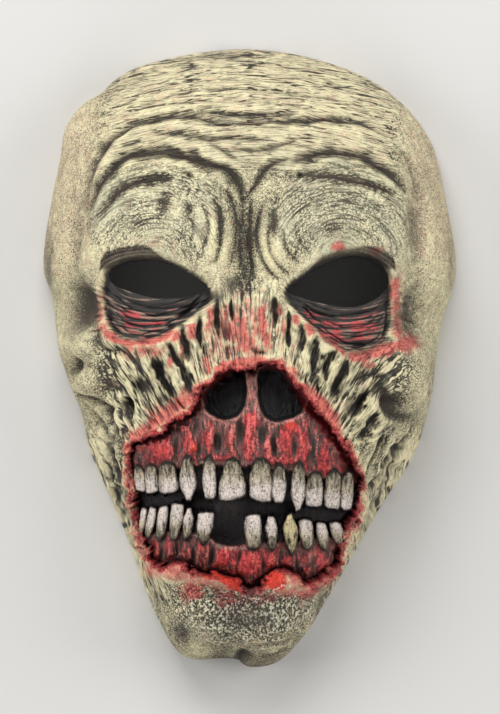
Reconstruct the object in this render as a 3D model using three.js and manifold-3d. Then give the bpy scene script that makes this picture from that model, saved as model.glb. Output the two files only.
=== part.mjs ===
// A zombie mask, cast as one latex skin: an open-backed shell with two eye holes, a torn-away mouth,
// bared teeth and deeply folded brows. It lies face up on its back rim.
// Millimetres. +X is to the right as the face is seen, +Y is the top of the head, +Z is out of the face.
import * as THREE from 'three';
import { mergeVertices } from 'three/addons/utils/BufferGeometryUtils.js';
import { SimplifyModifier } from 'three/addons/modifiers/SimplifyModifier.js';
import Module from 'manifold-3d';

// Driving dimensions
const DEPTH = 90;
const WALL = 3;
const CROWN_FALL = 8;
const CROWN_SPAN = [20, 120];
const CHIN_FALL = 14;
const CHIN_SPAN = [-20, -130];
const GUM_DEPTH = 8;
const MOUTH_DEPTH = 8;
const NOSE_DEPTH = 11;
const NOSTRIL_LIP = 1.2;
const JAW_RISE = 4;
const JAW_WIDTH = 34;
const JAW_HEIGHT = 40;
const BITE_LINE = -68;
const TOOTH_RISE = 5.5;
const TOOTH_TAPER = 0.75;
const ROOT_RIDGE = 0.3;
const TORN_LIP = 1.9;
const TORN_LIP_PLACE = 1.6;
const TORN_LIP_WIDTH = 1.8;
const TORN_STEP = 0.9;
const TORN_WAVE = 1.1;
const WAVE_ACROSS = 7.9;
const WAVE_ALONG = 9;
const SOCKET_DEPTH = 8;
const BAG_DEPTH = 4;
const BAG_RIM = 1.1;
const BANK_SHARE = 0.45;
const BANK_PLACE = 1.9;
const BANK_WIDTH = 0.9;
const PLAIN_RIM = 14;
const TRIANGLES = 8800;

// The outline of the head seen from the front, clockwise from the crown
const OUTLINE = [
  [0, 145], [46, 135.5], [70, 121], [85, 101.5], [91.5, 77], [97, 43], [95.5, 32], [91, 19], [87.5, 0],
  [84.5, -22], [77.5, -45], [60.5, -72], [51, -88.5], [39.5, -108.5], [25, -131], [12, -143], [0, -145],
  [-8, -141.5], [-31, -140], [-44, -121.5], [-54.5, -94], [-62, -74.5], [-75.5, -43.5], [-79, -27.5],
  [-89, 1], [-93.5, 30], [-97, 40], [-96.5, 55], [-89.5, 93], [-86.5, 109], [-79, 118.5], [-70, 124.5],
  [-63, 131], [-50, 137.5],
];

// The eye holes, the sunken sockets round them, and the edge where the lips and nose are torn away
const EYES = [
  [[-19.5, 32], [-28, 38.5], [-36.5, 42.5], [-45, 44.5], [-54.5, 44], [-62.5, 41.5], [-65.5, 38.5],
    [-63, 33.5], [-54.5, 30], [-45.5, 27.5], [-36.5, 27], [-28, 28]],
  [[17, 30.5], [25, 37], [35.5, 43], [44, 46], [51.5, 46], [58.5, 43], [63.5, 38.5], [64, 33.5],
    [61.5, 29.5], [57.5, 26.5], [50.5, 23.5], [43.5, 23], [34, 24.5], [25, 27]],
];
const SOCKETS = [
  [[-19, 31.5], [-28, 38.5], [-37, 43.5], [-46.5, 45.5], [-56, 45], [-64, 41], [-68, 33.5], [-68.5, 24],
    [-65.5, 13.5], [-56, 8.5], [-44, 9], [-33.5, 14], [-25, 20], [-18, 26.5]],
  [[16.5, 31], [24.5, 38], [35, 44.5], [44, 47], [53.5, 47], [61.5, 43.5], [64.5, 35], [65, 24],
    [65, 15], [62.5, 8.5], [56.5, 5], [47.5, 3.5], [41.5, 5.5], [33, 11], [26, 16.5], [18.5, 24.5]],
];
const TEAR = [
  [-3, -5.5], [6, -4], [14, -5], [18, -9], [23, -14.5], [27, -20], [36.5, -33], [42.5, -39], [46, -47.5],
  [53, -62], [50, -75.5], [42.5, -87.5], [35.5, -101], [26.5, -105.5], [19, -99], [13.5, -99.5], [4, -108],
  [-2.5, -107], [-8, -102.5], [-14.5, -99.5], [-27.5, -98], [-31.5, -94.5], [-39.5, -96.5], [-45, -94],
  [-52, -81], [-55.5, -65.5], [-57, -57.5], [-55, -41.5], [-38.5, -33.5], [-26, -25.5], [-22.5, -14.5],
  [-11, -7.5],
];
const NOSTRILS = [
  [[-3.5, -5.5], [-11, -7], [-17.5, -12.5], [-21.5, -17.5], [-20.5, -24], [-15.5, -28], [-10, -29],
    [-5.5, -27], [-2.5, -23], [-1.5, -15.5]],
  [[4.5, -5.5], [13, -5.5], [18, -11], [23, -16.5], [25.5, -21.5], [23.5, -26], [18.5, -28.5],
    [11.5, -30], [6.5, -27.5], [4, -22], [3.5, -14.5]],
];
const MOUTH = [
  [-57, -61], [-46.5, -60.5], [-28, -61], [-8, -63], [5.5, -64], [22, -67], [39.5, -68.5], [50.5, -70.5],
  [52, -76], [44, -82.5], [18, -82.5], [1, -81], [-3.5, -86], [-9.5, -87.5], [-16, -85.5], [-20.5, -80],
  [-33.5, -77], [-54.5, -76],
];

// The teeth from left to right: middle, root height, tip height, width at the tip and at the root, and how
// pointed each one is
const TEETH = [
  [-50.7, -50, -62.5, 5.2, 4, 0.1], [-45.4, -49.5, -63.3, 6, 4.5, 0.1], [-37.6, -48.5, -63, 9, 6, 0.1],
  [-28.4, -45.5, -66.3, 8.4, 4.6, 1], [-18.5, -46, -65.6, 6.6, 4.6, 0.4], [-8, -46.5, -66, 12.6, 7, 0],
  [4.9, -47, -66.6, 11, 8, 0.1], [13.2, -50, -67.5, 6.6, 5, 0.5], [22, -49, -71.2, 7, 5, 1],
  [29.6, -53, -69.5, 8.2, 6, 0.2], [38, -52.5, -70.5, 7.4, 6, 0.1], [44.7, -53, -71, 5.8, 4.5, 0.1],
  [-49, -85, -70.5, 3.6, 3.2, 0.3], [-45.2, -85.5, -70, 4.7, 3.2, 0.3], [-39.8, -85.5, -69.3, 5.6, 3.6, 0.4],
  [-33.4, -85.5, -68, 7, 4.2, 0.2], [-28, -85, -70.3, 5.4, 4, 0.8], [-20.5, -86.5, -72, 8.2, 5.2, 0.1],
  [1.5, -90, -73, 8.6, 6.8, 0.2], [9.7, -89.5, -73.8, 6.2, 4, 0.6], [18.3, -92, -73, 7.6, 3.6, 1],
  [25.5, -90, -75.5, 7.4, 4.8, 0.2], [32.8, -90, -77, 6, 4, 0.3], [39.4, -88, -77, 6.6, 4.4, 0.2],
];

// Swellings and hollows: middle, half sizes, turn in degrees, height
const MASSES = [
  // brows with their outer and inner ends, and the hollow between them
  [[-43, 62], [27, 18], 8, 8], [[40, 62], [27, 18], -8, 8], [[-70, 48], [9, 14], -10, 4.5],
  [[67, 50], [8, 17], 10, 4], [[-18, 54], [8, 17], 10, 4], [[12, 53], [8, 17], -12, 4],
  [[-1, 44], [4.5, 20], 0, -4.5], [[-39.5, 70.5], [2.5, 6], -15, -2.5], [[11, 60], [2.5, 9], 0, -2],
  // nose bridge, cheekbones, temples and the hollows beside the eyes
  [[0, 14], [11, 18], 0, 5], [[-78, 6], [10, 9], 10, 7], [[-76, -12], [9, 7], 20, 6],
  [[72, -4], [11, 10], -10, 7], [[75, -17], [8, 8], -10, 6], [[68, 4], [11, 7], 20, 3.5],
  [[-79, 60], [6, 28], -8, -3.4], [[77, 60], [6, 28], -6, -3.4],
  [[-77, 25], [7, 12], 15, -7], [[77, 22], [6, 13], -10, -6],
  // hollows of the cheeks and jaw, and dark pits in them
  [[-46, -18], [24, 15], -35, -5.5], [[44, -20], [23, 15], 45, -5.5], [[-65, -46], [8, 26], 25, -4],
  [[62, -54], [7, 30], -28, -4], [[-51, -13.5], [4.5, 3.2], -30, -4.5], [[-58, -23], [3.8, 4.8], 0, -5.5],
  [[-66, -15], [6, 5], 0, -3], [[-42, -4], [2.5, 4], 20, -3.5], [[-79, -3], [2.8, 3.6], 0, -3.5],
  [[66, -21], [5, 4], 30, -5.5],
  // chin, lower lip and the dimple beside them
  [[0, -124], [34, 16], 0, 4], [[5, -138], [13, 8], 0, 4.5], [[-25.5, -134.5], [12, 10], 0, 4],
  [[-31, -128], [4, 6], 0, -4.5], [[0, -113], [36, 5], 0, -2.5], [[13, -105], [8, 5], 15, 4.5],
  [[-15.5, -102.5], [9, 4.5], -15, 4], [[-38, -100], [7, 4], -30, 3],
];

// Creases: width, depth, then the places they run through
const CREASES = [
  // forehead
  [1.2, 1.4, [-60, 111], [-30, 124], [0, 125], [36, 121], [62, 110]],
  [1.6, 3, [-25, 115], [0, 112.5], [23, 113]],
  [1.9, 3, [-77, 70], [-70, 93], [-60, 105], [-37, 112], [0, 109], [33, 111], [59, 105.5], [74, 90], [79, 74]],
  [1.5, 2.2, [-45, 104.5], [-24, 101.5], [10, 101]],
  [1.4, 1.8, [-9, 96.5], [4.5, 95.5], [22, 101]],
  [1.4, 1.8, [-24, 101.5], [-11, 94.5], [-5, 92]],
  // brow arcs
  [2.2, 4.2, [-76, 65], [-66, 86], [-52.5, 94.5], [-37, 94.5], [-21, 89], [-8.5, 84], [-3, 71]],
  [2, 3.6, [-69, 64], [-59.5, 77], [-46, 81.5], [-35, 81.5]],
  [1.8, 2.6, [-3, 71.5], [7, 86.5], [18, 91]],
  [2, 3.8, [18, 89.5], [33, 94.5], [51, 93.5], [64, 86.5], [73, 75]],
  [1.9, 3.2, [23, 83.5], [39, 82.5], [55, 79.5], [66, 72]],
  // between the brows
  [1.4, 2, [-23, 70.5], [-19.5, 62], [-23.5, 49.5]],
  [1.5, 2.6, [-17, 74], [-13.5, 60], [-17.5, 42]],
  [1.5, 2.6, [-11, 78.5], [-6.5, 60], [-10, 41]],
  [1.6, 3, [-3.5, 78], [-1, 58], [1, 37.5]],
  [1.4, 2.4, [6, 71], [4, 50], [13.5, 34.5]],
  [1.3, 2, [9.5, 62.5], [10, 47], [19, 37]],
  // strands of flesh between the eyes, the nose and the torn edge
  [1.9, 3.4, [-39, 8], [-35, -1], [-29.5, -10]], [1.7, 3, [-32.5, 14], [-30, 7], [-27.5, 0]],
  [1.7, 3, [-23.5, 18.5], [-23, 10], [-22, 3]], [1.5, 2.6, [-15.5, 24.5], [-15, 17], [-14.5, 9]],
  [1.4, 2.2, [-8.5, 27], [-7.5, 20], [-5.5, 14]], [1.5, 2.6, [11, 24], [12, 19], [13, 15]],
  [1.7, 3, [17, 18.5], [17.5, 12], [18, 3]], [1.6, 2.8, [23, 14], [24, 7], [24, -3]],
  [1.8, 3.2, [30, 12], [30.5, 3], [29.5, -9]], [2.3, 3.8, [37, 2], [35.5, -4], [33.5, -11]],
  [2.4, 4, [45, -2], [42.5, -10], [39.5, -20]], [2.3, 3.6, [51.5, -17.5], [49, -21], [46.5, -25]],
  [2.4, 3.8, [56.5, -29.5], [53.5, -34], [49.5, -39]], [2.1, 3, [62.5, -36.5], [60, -43], [56.5, -51]],
  [1.5, 2.4, [-34.5, -7], [-32, -13.5], [-29.5, -20]], [1.6, 2.4, [-50, -20], [-45, -28], [-42, -33]],
  [1.6, 2.4, [-62, -12], [-58, -17], [-55, -30]],
  // folds of the cheeks and jaw
  [1.8, 3, [-71, 9.5], [-64, 3], [-57, 0]], [1.8, 2.8, [46, -1], [53, -4], [59, -6.5]],
  [2, 3, [58, -7], [61, -16], [66, -27], [75, -29]], [1.6, 3, [-82, -16], [-74, -22], [-68, -27], [-63, -35]],
  [1.5, 2.2, [-79, -20], [-72, -40], [-60, -76], [-51, -101]], [1.8, 2.8, [-77, -21], [-67, -48], [-55, -81]],
  [1.6, 2.4, [-71, -26], [-65, -41], [-56, -69]], [1.5, 2.2, [-65, -24], [-57, -45]],
  [1.5, 2.2, [78, -29], [68, -55], [52, -83]], [2, 2.8, [70, -40], [65, -52], [58, -67]],
  [1.5, 1.8, [60, -70], [45, -96], [25, -128]], [1.5, 1.8, [-60, -72], [-49, -104], [-37, -134]],
  [1.8, 3.2, [-2, -131], [-4.5, -137], [-6.5, -144]],
];

// Curves through the places above
function curveThrough(places, closed) {
  const points = places.map(([x, y]) => new THREE.Vector3(x, y, 0));
  return new THREE.CatmullRomCurve3(points, closed, 'centripetal').getPoints(places.length * 5);
}

function smooth(from, to, value) {
  const t = THREE.MathUtils.clamp((value - from) / (to - from), 0, 1);
  return t * t * (3 - 2 * t);
}

function bell(distance, width) {
  return Math.exp(-((distance / width) ** 2));
}

// Distance to the nearest point of a line, and how far along the line that point is
function nearest(x, y, line) {
  let least = Infinity;
  let share = 0;
  for (let i = 0; i < line.length - 1; i++) {
    const [ax, ay] = [line[i].x, line[i].y];
    const [ex, ey] = [line[i + 1].x - ax, line[i + 1].y - ay];
    const t = THREE.MathUtils.clamp(((x - ax) * ex + (y - ay) * ey) / (ex * ex + ey * ey + 1e-9), 0, 1);
    const squared = (x - ax - t * ex) ** 2 + (y - ay - t * ey) ** 2;
    if (squared < least) {
      least = squared;
      share = (i + t) / (line.length - 1);
    }
  }
  return [Math.sqrt(least), share];
}

function isInside(x, y, line) {
  let inside = false;
  for (let i = 0; i < line.length - 1; i++) {
    const [a, b] = [line[i], line[i + 1]];
    if ((a.y > y) !== (b.y > y) && x < ((b.x - a.x) * (y - a.y)) / (b.y - a.y) + a.x) {
      inside = !inside;
    }
  }
  return inside;
}

// Depth inside a closed outline, below zero outside it and no less than -reach
function insetOf(places, reach) {
  const line = curveThrough(places, true);
  const box = new THREE.Box3().setFromPoints(line).expandByVector(new THREE.Vector3(reach, reach, 1));
  return (x, y) => {
    if (x < box.min.x || x > box.max.x || y < box.min.y || y > box.max.y) {
      return -reach;
    }
    const [distance] = nearest(x, y, line);
    return isInside(x, y, line) ? distance : -Math.min(distance, reach);
  };
}

// The smooth head under the carving: a dome over the outline, lower at the crown and the chin
const outlineCurve = curveThrough(OUTLINE, true);
const ANGLES = 720;
const radii = Array.from({ length: ANGLES }, (_, i) => {
  const angle = (i / ANGLES) * 2 * Math.PI;
  const [dx, dy] = [Math.cos(angle), Math.sin(angle)];
  let radius = 0;
  for (let k = 0; k < outlineCurve.length - 1; k++) {
    const [a, b] = [outlineCurve[k], outlineCurve[k + 1]];
    const cross = dx * (b.y - a.y) - dy * (b.x - a.x);
    const along = (a.x * (b.y - a.y) - a.y * (b.x - a.x)) / cross;
    const share = (a.x * dy - a.y * dx) / cross;
    if (along > 0 && share >= 0 && share <= 1) {
      radius = Math.max(radius, along);
    }
  }
  return radius;
});

function outlineRadius(angle) {
  const place = ((angle / (2 * Math.PI)) * ANGLES + ANGLES) % ANGLES;
  const index = Math.floor(place);
  const next = radii[(index + 1) % ANGLES];
  return THREE.MathUtils.lerp(radii[index], next, place - index);
}

function domeHeight(y) {
  return DEPTH - CROWN_FALL * smooth(...CROWN_SPAN, y) - CHIN_FALL * smooth(...CHIN_SPAN, y);
}

function domePower(y) {
  return 2.5 + 1.6 * smooth(-60, -135, y);
}

// Zero on the dome's surface, so its slope gives the way the surface faces
function domeLevel(x, y, z) {
  const reach = Math.hypot(x, y) / outlineRadius(Math.atan2(y, x));
  return (z / domeHeight(y)) ** 2 + reach ** domePower(y) - 1;
}

function domeNormal(x, y, z) {
  const step = 1.5;
  return new THREE.Vector3(
    domeLevel(x + step, y, z) - domeLevel(x - step, y, z),
    domeLevel(x, y + step, z) - domeLevel(x, y - step, z),
    domeLevel(x, y, z + step) - domeLevel(x, y, z - step),
  ).normalize();
}

// Carving that is added up: swellings, hollows and creases, each with a box outside which it is nothing
const carving = [];
for (const [[x0, y0], [rx, ry], turn, height] of MASSES) {
  const angle = THREE.MathUtils.degToRad(turn);
  const [cos, sin] = [Math.cos(angle), Math.sin(angle)];
  const reach = 3 * Math.max(rx, ry);
  const box = [x0 - reach, x0 + reach, y0 - reach, y0 + reach];
  const rise = (x, y) => {
    const u = ((x - x0) * cos + (y - y0) * sin) / rx;
    const v = ((y - y0) * cos - (x - x0) * sin) / ry;
    return height * Math.exp(-u * u - v * v);
  };
  carving.push([box, rise]);
}

for (const [width, depth, ...places] of CREASES) {
  const line = curveThrough(places, false);
  const reach = width * 4;
  const { min, max } = new THREE.Box3().setFromPoints(line);
  const box = [min.x - reach, max.x + reach, min.y - reach, max.y + reach];
  const rise = (x, y) => {
    const [distance, share] = nearest(x, y, line);
    const fade = Math.sqrt(Math.min(1, share / 0.2, (1 - share) / 0.2));
    const groove = width * (0.7 + 0.5 * fade);
    const bank = BANK_SHARE * bell(distance - BANK_PLACE * groove, BANK_WIDTH * groove);
    return depth * fade * (bank - bell(distance, groove));
  };
  carving.push([box, rise]);
}

function carvedRise(x, y) {
  let sum = 0;
  for (const [box, rise] of carving) {
    if (x > box[0] && x < box[1] && y > box[2] && y < box[3]) {
      sum += rise(x, y);
    }
  }
  return sum;
}

// Sunken sockets, deep under the brow and shallow at the bag below the eye, with a raised rim
const socketInsets = SOCKETS.map((places) => insetOf(places, 6));

function socketRise(x, y) {
  let sum = 0;
  for (const inset of socketInsets) {
    const depth = inset(x, y);
    const low = smooth(46, 6, y);
    const brink = 2.2 - 1.6 * low;
    sum -= smooth(-brink, brink + 0.6, depth) * THREE.MathUtils.lerp(SOCKET_DEPTH, BAG_DEPTH, low);
    sum += bell(depth + 1.5, 1.6) * BAG_RIM * low;
  }
  return sum;
}

// Gums, nostrils, mouth gap and teeth, which show where the skin is torn away
const tearInset = insetOf(TEAR, 6);
const nostrilInsets = NOSTRILS.map((places) => insetOf(places, 4));
const mouthInset = insetOf(MOUTH, 4);

function toothRise(x, y) {
  let rise = 0;
  for (const [middle, root, tip, tipWidth, rootWidth, point] of TEETH) {
    const along = (y - root) / (tip - root);
    const taper = 1 - TOOTH_TAPER * point * smooth(0.62, 1.04, along);
    const half = 0.5 * THREE.MathUtils.lerp(rootWidth, tipWidth, smooth(0, 0.7, along)) * taper;
    const across = Math.abs(x - middle) / half;
    if (across < 1 && along > -0.4 && along < 1.05) {
      const round = Math.sqrt(1 - across ** 3);
      const crown = smooth(-0.1, 0.12, along) * smooth(1.05, 0.93, along);
      const ridge = ROOT_RIDGE * smooth(-0.4, 0, along);
      rise = Math.max(rise, TOOTH_RISE * round * Math.max(crown, ridge));
    }
  }
  return rise;
}

function mouthRise(x, y) {
  const nose = Math.max(...nostrilInsets.map((inset) => inset(x, y)));
  const mouth = smooth(-1, 1.8, mouthInset(x, y));
  const tooth = toothRise(x, y);
  const arch = JAW_RISE * bell(x, JAW_WIDTH) * bell(y - BITE_LINE, JAW_HEIGHT) - GUM_DEPTH;
  const gum = arch - NOSE_DEPTH * smooth(-0.8, 2, nose) + NOSTRIL_LIP * bell(nose + 1, 1);
  return Math.max(gum - MOUTH_DEPTH * mouth, tooth > 0 ? arch + tooth : -Infinity);
}

// The height of the carving, and 1 inside the torn edge or 0 outside it
function faceRise(x, y) {
  const skin = carvedRise(x, y) + socketRise(x, y);
  const wave = Math.sin((2 * Math.PI * x) / WAVE_ACROSS + 1) * Math.sin((2 * Math.PI * y) / WAVE_ALONG);
  const inset = tearInset(x, y) + TORN_WAVE * wave;
  const torn = smooth(-TORN_STEP, TORN_STEP, inset);
  const lifted = skin + TORN_LIP * bell(inset + TORN_LIP_PLACE, TORN_LIP_WIDTH);
  return [torn > 0 ? THREE.MathUtils.lerp(lifted, mouthRise(x, y), torn) : lifted, torn];
}

// The shell as a grid that is square at heart and round at its rim, whose last rows run below the rim. It is
// carved along the way the skin faces, and straight in where the skin is torn away.
const ACROSS = 300;
const ALONG = 440;
const SKIRT_SHARE = 0.03;
const SKIRT_DROP = 70;
const grid = [];
for (let j = 0; j <= ALONG; j++) {
  for (let i = 0; i <= ACROSS; i++) {
    const [u, v] = [(2 * i) / ACROSS - 1, (2 * j) / ALONG - 1];
    const round = new THREE.Vector2(u * Math.sqrt(1 - (v * v) / 2), v * Math.sqrt(1 - (u * u) / 2));
    const spread = round.length() * (1 + SKIRT_SHARE);
    const reach = Math.sin((Math.min(spread, 1) * Math.PI) / 2);
    const angle = round.angle();
    const radius = outlineRadius(angle) * reach;
    const [x, y] = [Math.cos(angle) * radius, Math.sin(angle) * radius];
    const dome = domeHeight(y) * Math.sqrt(Math.max(0, 1 - reach ** domePower(y)));
    const z = spread > 1 ? (1 - spread) * SKIRT_DROP : dome;
    const normal = domeNormal(x, y, Math.max(z, 0));
    const lean = smooth(0.55, 0.95, reach);
    const skinWay = new THREE.Vector3(0, 0, 1).lerp(normal, lean).normalize();
    const [height, torn] = faceRise(x, y);
    const way = skinWay.clone().lerp(new THREE.Vector3(0, 0, 1), torn);
    const rise = smooth(0, PLAIN_RIM, z) * height;
    grid.push({ place: new THREE.Vector3(x, y, z), way, skinWay, facing: skinWay.dot(normal), rise });
  }
}

// The inside follows the lowest carving round about, so the wall is never thinner than it should be
const columns = ACROSS + 1;
const rows = ALONG + 1;
const WINDOW = 5;

function lowestAround(values, stepSize, count, stride) {
  return values.map((_, index) => {
    const at = Math.floor(index / stride) % count;
    let least = Infinity;
    for (let k = Math.max(0, at - WINDOW); k <= Math.min(count - 1, at + WINDOW); k++) {
      least = Math.min(least, values[index + (k - at) * stepSize]);
    }
    return least;
  });
}

function meanAround(values, stepSize, count, stride) {
  return values.map((_, index) => {
    const at = Math.floor(index / stride) % count;
    const [first, last] = [Math.max(0, at - WINDOW), Math.min(count - 1, at + WINDOW)];
    let sum = 0;
    for (let k = first; k <= last; k++) {
      sum += values[index + (k - at) * stepSize];
    }
    return sum / (last - first + 1);
  });
}

let inner = grid.map(({ rise, way, skinWay }) => Math.min(rise * way.dot(skinWay), 0));
inner = lowestAround(lowestAround(inner, 1, columns, 1), columns, rows, columns);
inner = meanAround(meanAround(inner, 1, columns, 1), columns, rows, columns);

// Nothing carved stands out past the outline
const positions = [];
for (const { place, way, rise } of grid) {
  const point = place.clone().addScaledVector(way, rise);
  const limit = outlineRadius(Math.atan2(point.y, point.x)) / Math.hypot(point.x, point.y);
  const held = Math.min(1, limit);
  positions.push(point.x * held, point.y * held, point.z);
}
grid.forEach(({ place, skinWay, facing }, index) => {
  positions.push(...place.clone().addScaledVector(skinWay, inner[index] - WALL / facing).toArray());
});

const faces = [];
function addQuad(a, b, c, d, other) {
  if (other) {
    faces.push(a, b, d, b, c, d);
  } else {
    faces.push(a, b, c, a, c, d);
  }
}

const inside = columns * rows;
for (let j = 0; j < ALONG; j++) {
  for (let i = 0; i < ACROSS; i++) {
    const a = j * columns + i;
    const other = (i < ACROSS / 2) !== (j < ALONG / 2);
    addQuad(a, a + 1, a + 1 + columns, a + columns, other);
    const b = a + inside;
    addQuad(b + 1, b, b + columns, b + 1 + columns, !other);
  }
}

const rim = [];
for (let i = 0; i < ACROSS; i++) {
  rim.push(i);
}
for (let j = 0; j < ALONG; j++) {
  rim.push(ACROSS + j * columns);
}
for (let i = ACROSS; i > 0; i--) {
  rim.push(ALONG * columns + i);
}
for (let j = ALONG; j > 0; j--) {
  rim.push(j * columns);
}
rim.forEach((a, index) => {
  const b = rim[(index + 1) % rim.length];
  addQuad(b, a, a + inside, b + inside, false);
});

// Fewer faces where the surface is plain, and many where it is carved
const fine = new THREE.BufferGeometry();
fine.setAttribute('position', new THREE.Float32BufferAttribute(positions, 3));
fine.setIndex(faces);
const spare = Math.floor(positions.length / 3 - TRIANGLES / 2);
const coarse = await new SimplifyModifier().modify(fine, spare);

// The eye holes and the flat rim are cut
const wasm = await Module();
wasm.setup();

function solidOf(geometry) {
  const bare = new THREE.BufferGeometry();
  bare.setAttribute('position', geometry.getAttribute('position'));
  bare.setIndex(geometry.getIndex());
  const merged = mergeVertices(bare, 1e-5);
  return new wasm.Manifold(new wasm.Mesh({
    numProp: 3,
    vertProperties: new Float32Array(merged.getAttribute('position').array),
    triVerts: new Uint32Array(merged.getIndex().array),
  }));
}

let skin = solidOf(coarse);
for (const places of EYES) {
  const shape = new THREE.Shape(curveThrough(places, true).slice(0, -1).map(({ x, y }) => new THREE.Vector2(x, y)));
  const hole = new THREE.ExtrudeGeometry(shape, { depth: 2 * DEPTH, bevelEnabled: false });
  skin = skin.subtract(solidOf(hole));
}
const below = new THREE.BoxGeometry(300, 400, 40);
below.translate(0, 0, -20);
skin = skin.subtract(solidOf(below));

const mesh = skin.getMesh();
const geometry = new THREE.BufferGeometry();
geometry.setAttribute('position', new THREE.BufferAttribute(new Float32Array(mesh.vertProperties), 3));
geometry.setIndex(new THREE.BufferAttribute(new Uint32Array(mesh.triVerts), 1));
geometry.computeVertexNormals();

const latex = new THREE.MeshStandardMaterial({ color: 0xbeb996, roughness: 0.62, metalness: 0 });
const mask = new THREE.Mesh(geometry, latex);
mask.name = 'zombie_mask';

const group = new THREE.Group();
group.add(mask);
export default group;
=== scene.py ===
import math

import bpy
import numpy as np
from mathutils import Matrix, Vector
from mathutils.kdtree import KDTree


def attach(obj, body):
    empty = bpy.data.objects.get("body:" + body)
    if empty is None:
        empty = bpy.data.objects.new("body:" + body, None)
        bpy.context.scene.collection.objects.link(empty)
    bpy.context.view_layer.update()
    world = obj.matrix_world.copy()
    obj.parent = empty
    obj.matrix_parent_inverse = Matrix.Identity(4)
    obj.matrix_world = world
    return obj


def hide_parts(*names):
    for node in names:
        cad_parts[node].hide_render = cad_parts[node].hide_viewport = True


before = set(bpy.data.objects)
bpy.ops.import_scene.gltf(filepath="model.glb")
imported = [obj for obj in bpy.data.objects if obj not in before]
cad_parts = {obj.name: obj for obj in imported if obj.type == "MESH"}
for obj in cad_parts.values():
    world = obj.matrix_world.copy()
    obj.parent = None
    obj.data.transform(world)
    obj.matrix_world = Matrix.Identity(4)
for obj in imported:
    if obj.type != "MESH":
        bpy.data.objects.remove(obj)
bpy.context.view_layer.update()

# The studio
# The mask lies face up on a pale floor under large soft lights. The camera looks straight down on it from
# far off, with the crown at the top of the picture and one millimetre on the face about two pixels wide.
MM = 0.001
PICTURE_ROWS = 714
PIXEL_SIZE = 0.4655 * MM
CAMERA_RANGE = 4.0
FARTHEST = 20
FACE_LEVEL = 50 * MM
FILM = 24.0

lens = bpy.data.cameras.new("studio_camera")
lens.sensor_fit = "VERTICAL"
lens.sensor_height = FILM
lens.lens = FILM * CAMERA_RANGE / (PICTURE_ROWS * PIXEL_SIZE)
lens.clip_end = FARTHEST
camera = bpy.data.objects.new("studio_camera", lens)
camera.location = (0, 0, FACE_LEVEL + CAMERA_RANGE)
bpy.context.scene.collection.objects.link(camera)
bpy.context.scene.camera = camera

SOFTBOXES = {
    # place, side and watts
    "crown_softbox": ((-0.25, 1.15, 1.25), 1.1, 23),
    "left_softbox": ((-1.25, 0.1, 0.85), 1.0, 11),
    "right_softbox": ((1.25, 0.15, 0.85), 1.0, 11),
    "chin_softbox": ((0.1, -1.3, 0.9), 1.0, 7),
}
for name, (place, side, watts) in SOFTBOXES.items():
    softbox = bpy.data.lights.new(name, "AREA")
    softbox.size = side
    softbox.energy = watts
    lamp = bpy.data.objects.new(name, softbox)
    lamp.location = place
    to_face = Vector((0, 0, FACE_LEVEL)) - Vector(place)
    lamp.rotation_euler = to_face.to_track_quat("-Z", "Y").to_euler()
    bpy.context.scene.collection.objects.link(lamp)

ROOM_LIGHT = 0.14
world = bpy.data.worlds.new("studio_air")
world.use_nodes = True
room = world.node_tree.nodes["Background"].inputs
room["Color"].default_value = (1, 1, 1, 1)
room["Strength"].default_value = ROOM_LIGHT
bpy.context.scene.world = world
bpy.context.scene.view_settings.view_transform = "Standard"

FLOOR_SIDE = 6
FLOOR_GAP = 0.2 * MM
FLOOR_GREY = (0.62, 0.61, 0.59, 1)
FLOOR_ROUGHNESS = 0.9
bpy.ops.object.select_all(action="DESELECT")
bpy.ops.mesh.primitive_plane_add(size=FLOOR_SIDE, location=(0, 0, -FLOOR_GAP))
floor = bpy.context.object
floor.name = "studio_floor"
floor_paint = bpy.data.materials.new("studio_floor")
floor_paint.use_nodes = True
floor_shader = floor_paint.node_tree.nodes["Principled BSDF"].inputs
floor_shader["Base Color"].default_value = FLOOR_GREY
floor_shader["Roughness"].default_value = FLOOR_ROUGHNESS
floor.data.materials.append(floor_paint)

# The head
# One latex casting, open behind. It starts as two grids, one for the outer face and one for the inner,
# drawn over a dome whose foot is the outline of the head. All sizes are in millimetres from its middle.
DEPTH = 90
CROWN_FALL = 8
CROWN_SPAN = (20, 120)
CHIN_FALL = 14
CHIN_SPAN = (-20, -130)
DOME_POWER = 2.5
CHIN_POWER = 1.6
CHIN_POWER_SPAN = (-60, -135)
SKIN_REACH = (152, 222)
SLOPE_STEP = 1.5
LEAN_SPAN = (0.55, 0.95)
OUTLINE = [
    [0, 145], [46, 135.5], [70, 121], [85, 101.5], [91.5, 77], [97, 43], [95.5, 32], [91, 19], [87.5, 0],
    [84.5, -22], [77.5, -45], [60.5, -72], [51, -88.5], [39.5, -108.5], [25, -131], [12, -143], [0, -145],
    [-8, -141.5], [-31, -140], [-44, -121.5], [-54.5, -94], [-62, -74.5], [-75.5, -43.5], [-79, -27.5],
    [-89, 1], [-93.5, 30], [-97, 40], [-96.5, 55], [-89.5, 93], [-86.5, 109], [-79, 118.5], [-70, 124.5],
    [-63, 131], [-50, 137.5],
]
CELLS_ACROSS = 640
CELLS_ALONG = 900
ANGLES = 1440


def smooth(start, end, value):
    t = np.clip((value - start) / (end - start), 0, 1)
    return t * t * (3 - 2 * t)


def bell(distance, width):
    return np.exp(-((distance / width) ** 2))


def turned(dx, dy, degrees):
    """Lengths along and across a direction that is turned by so many degrees."""
    angle = math.radians(degrees)
    return dx * math.cos(angle) + dy * math.sin(angle), dy * math.cos(angle) - dx * math.sin(angle)


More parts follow.
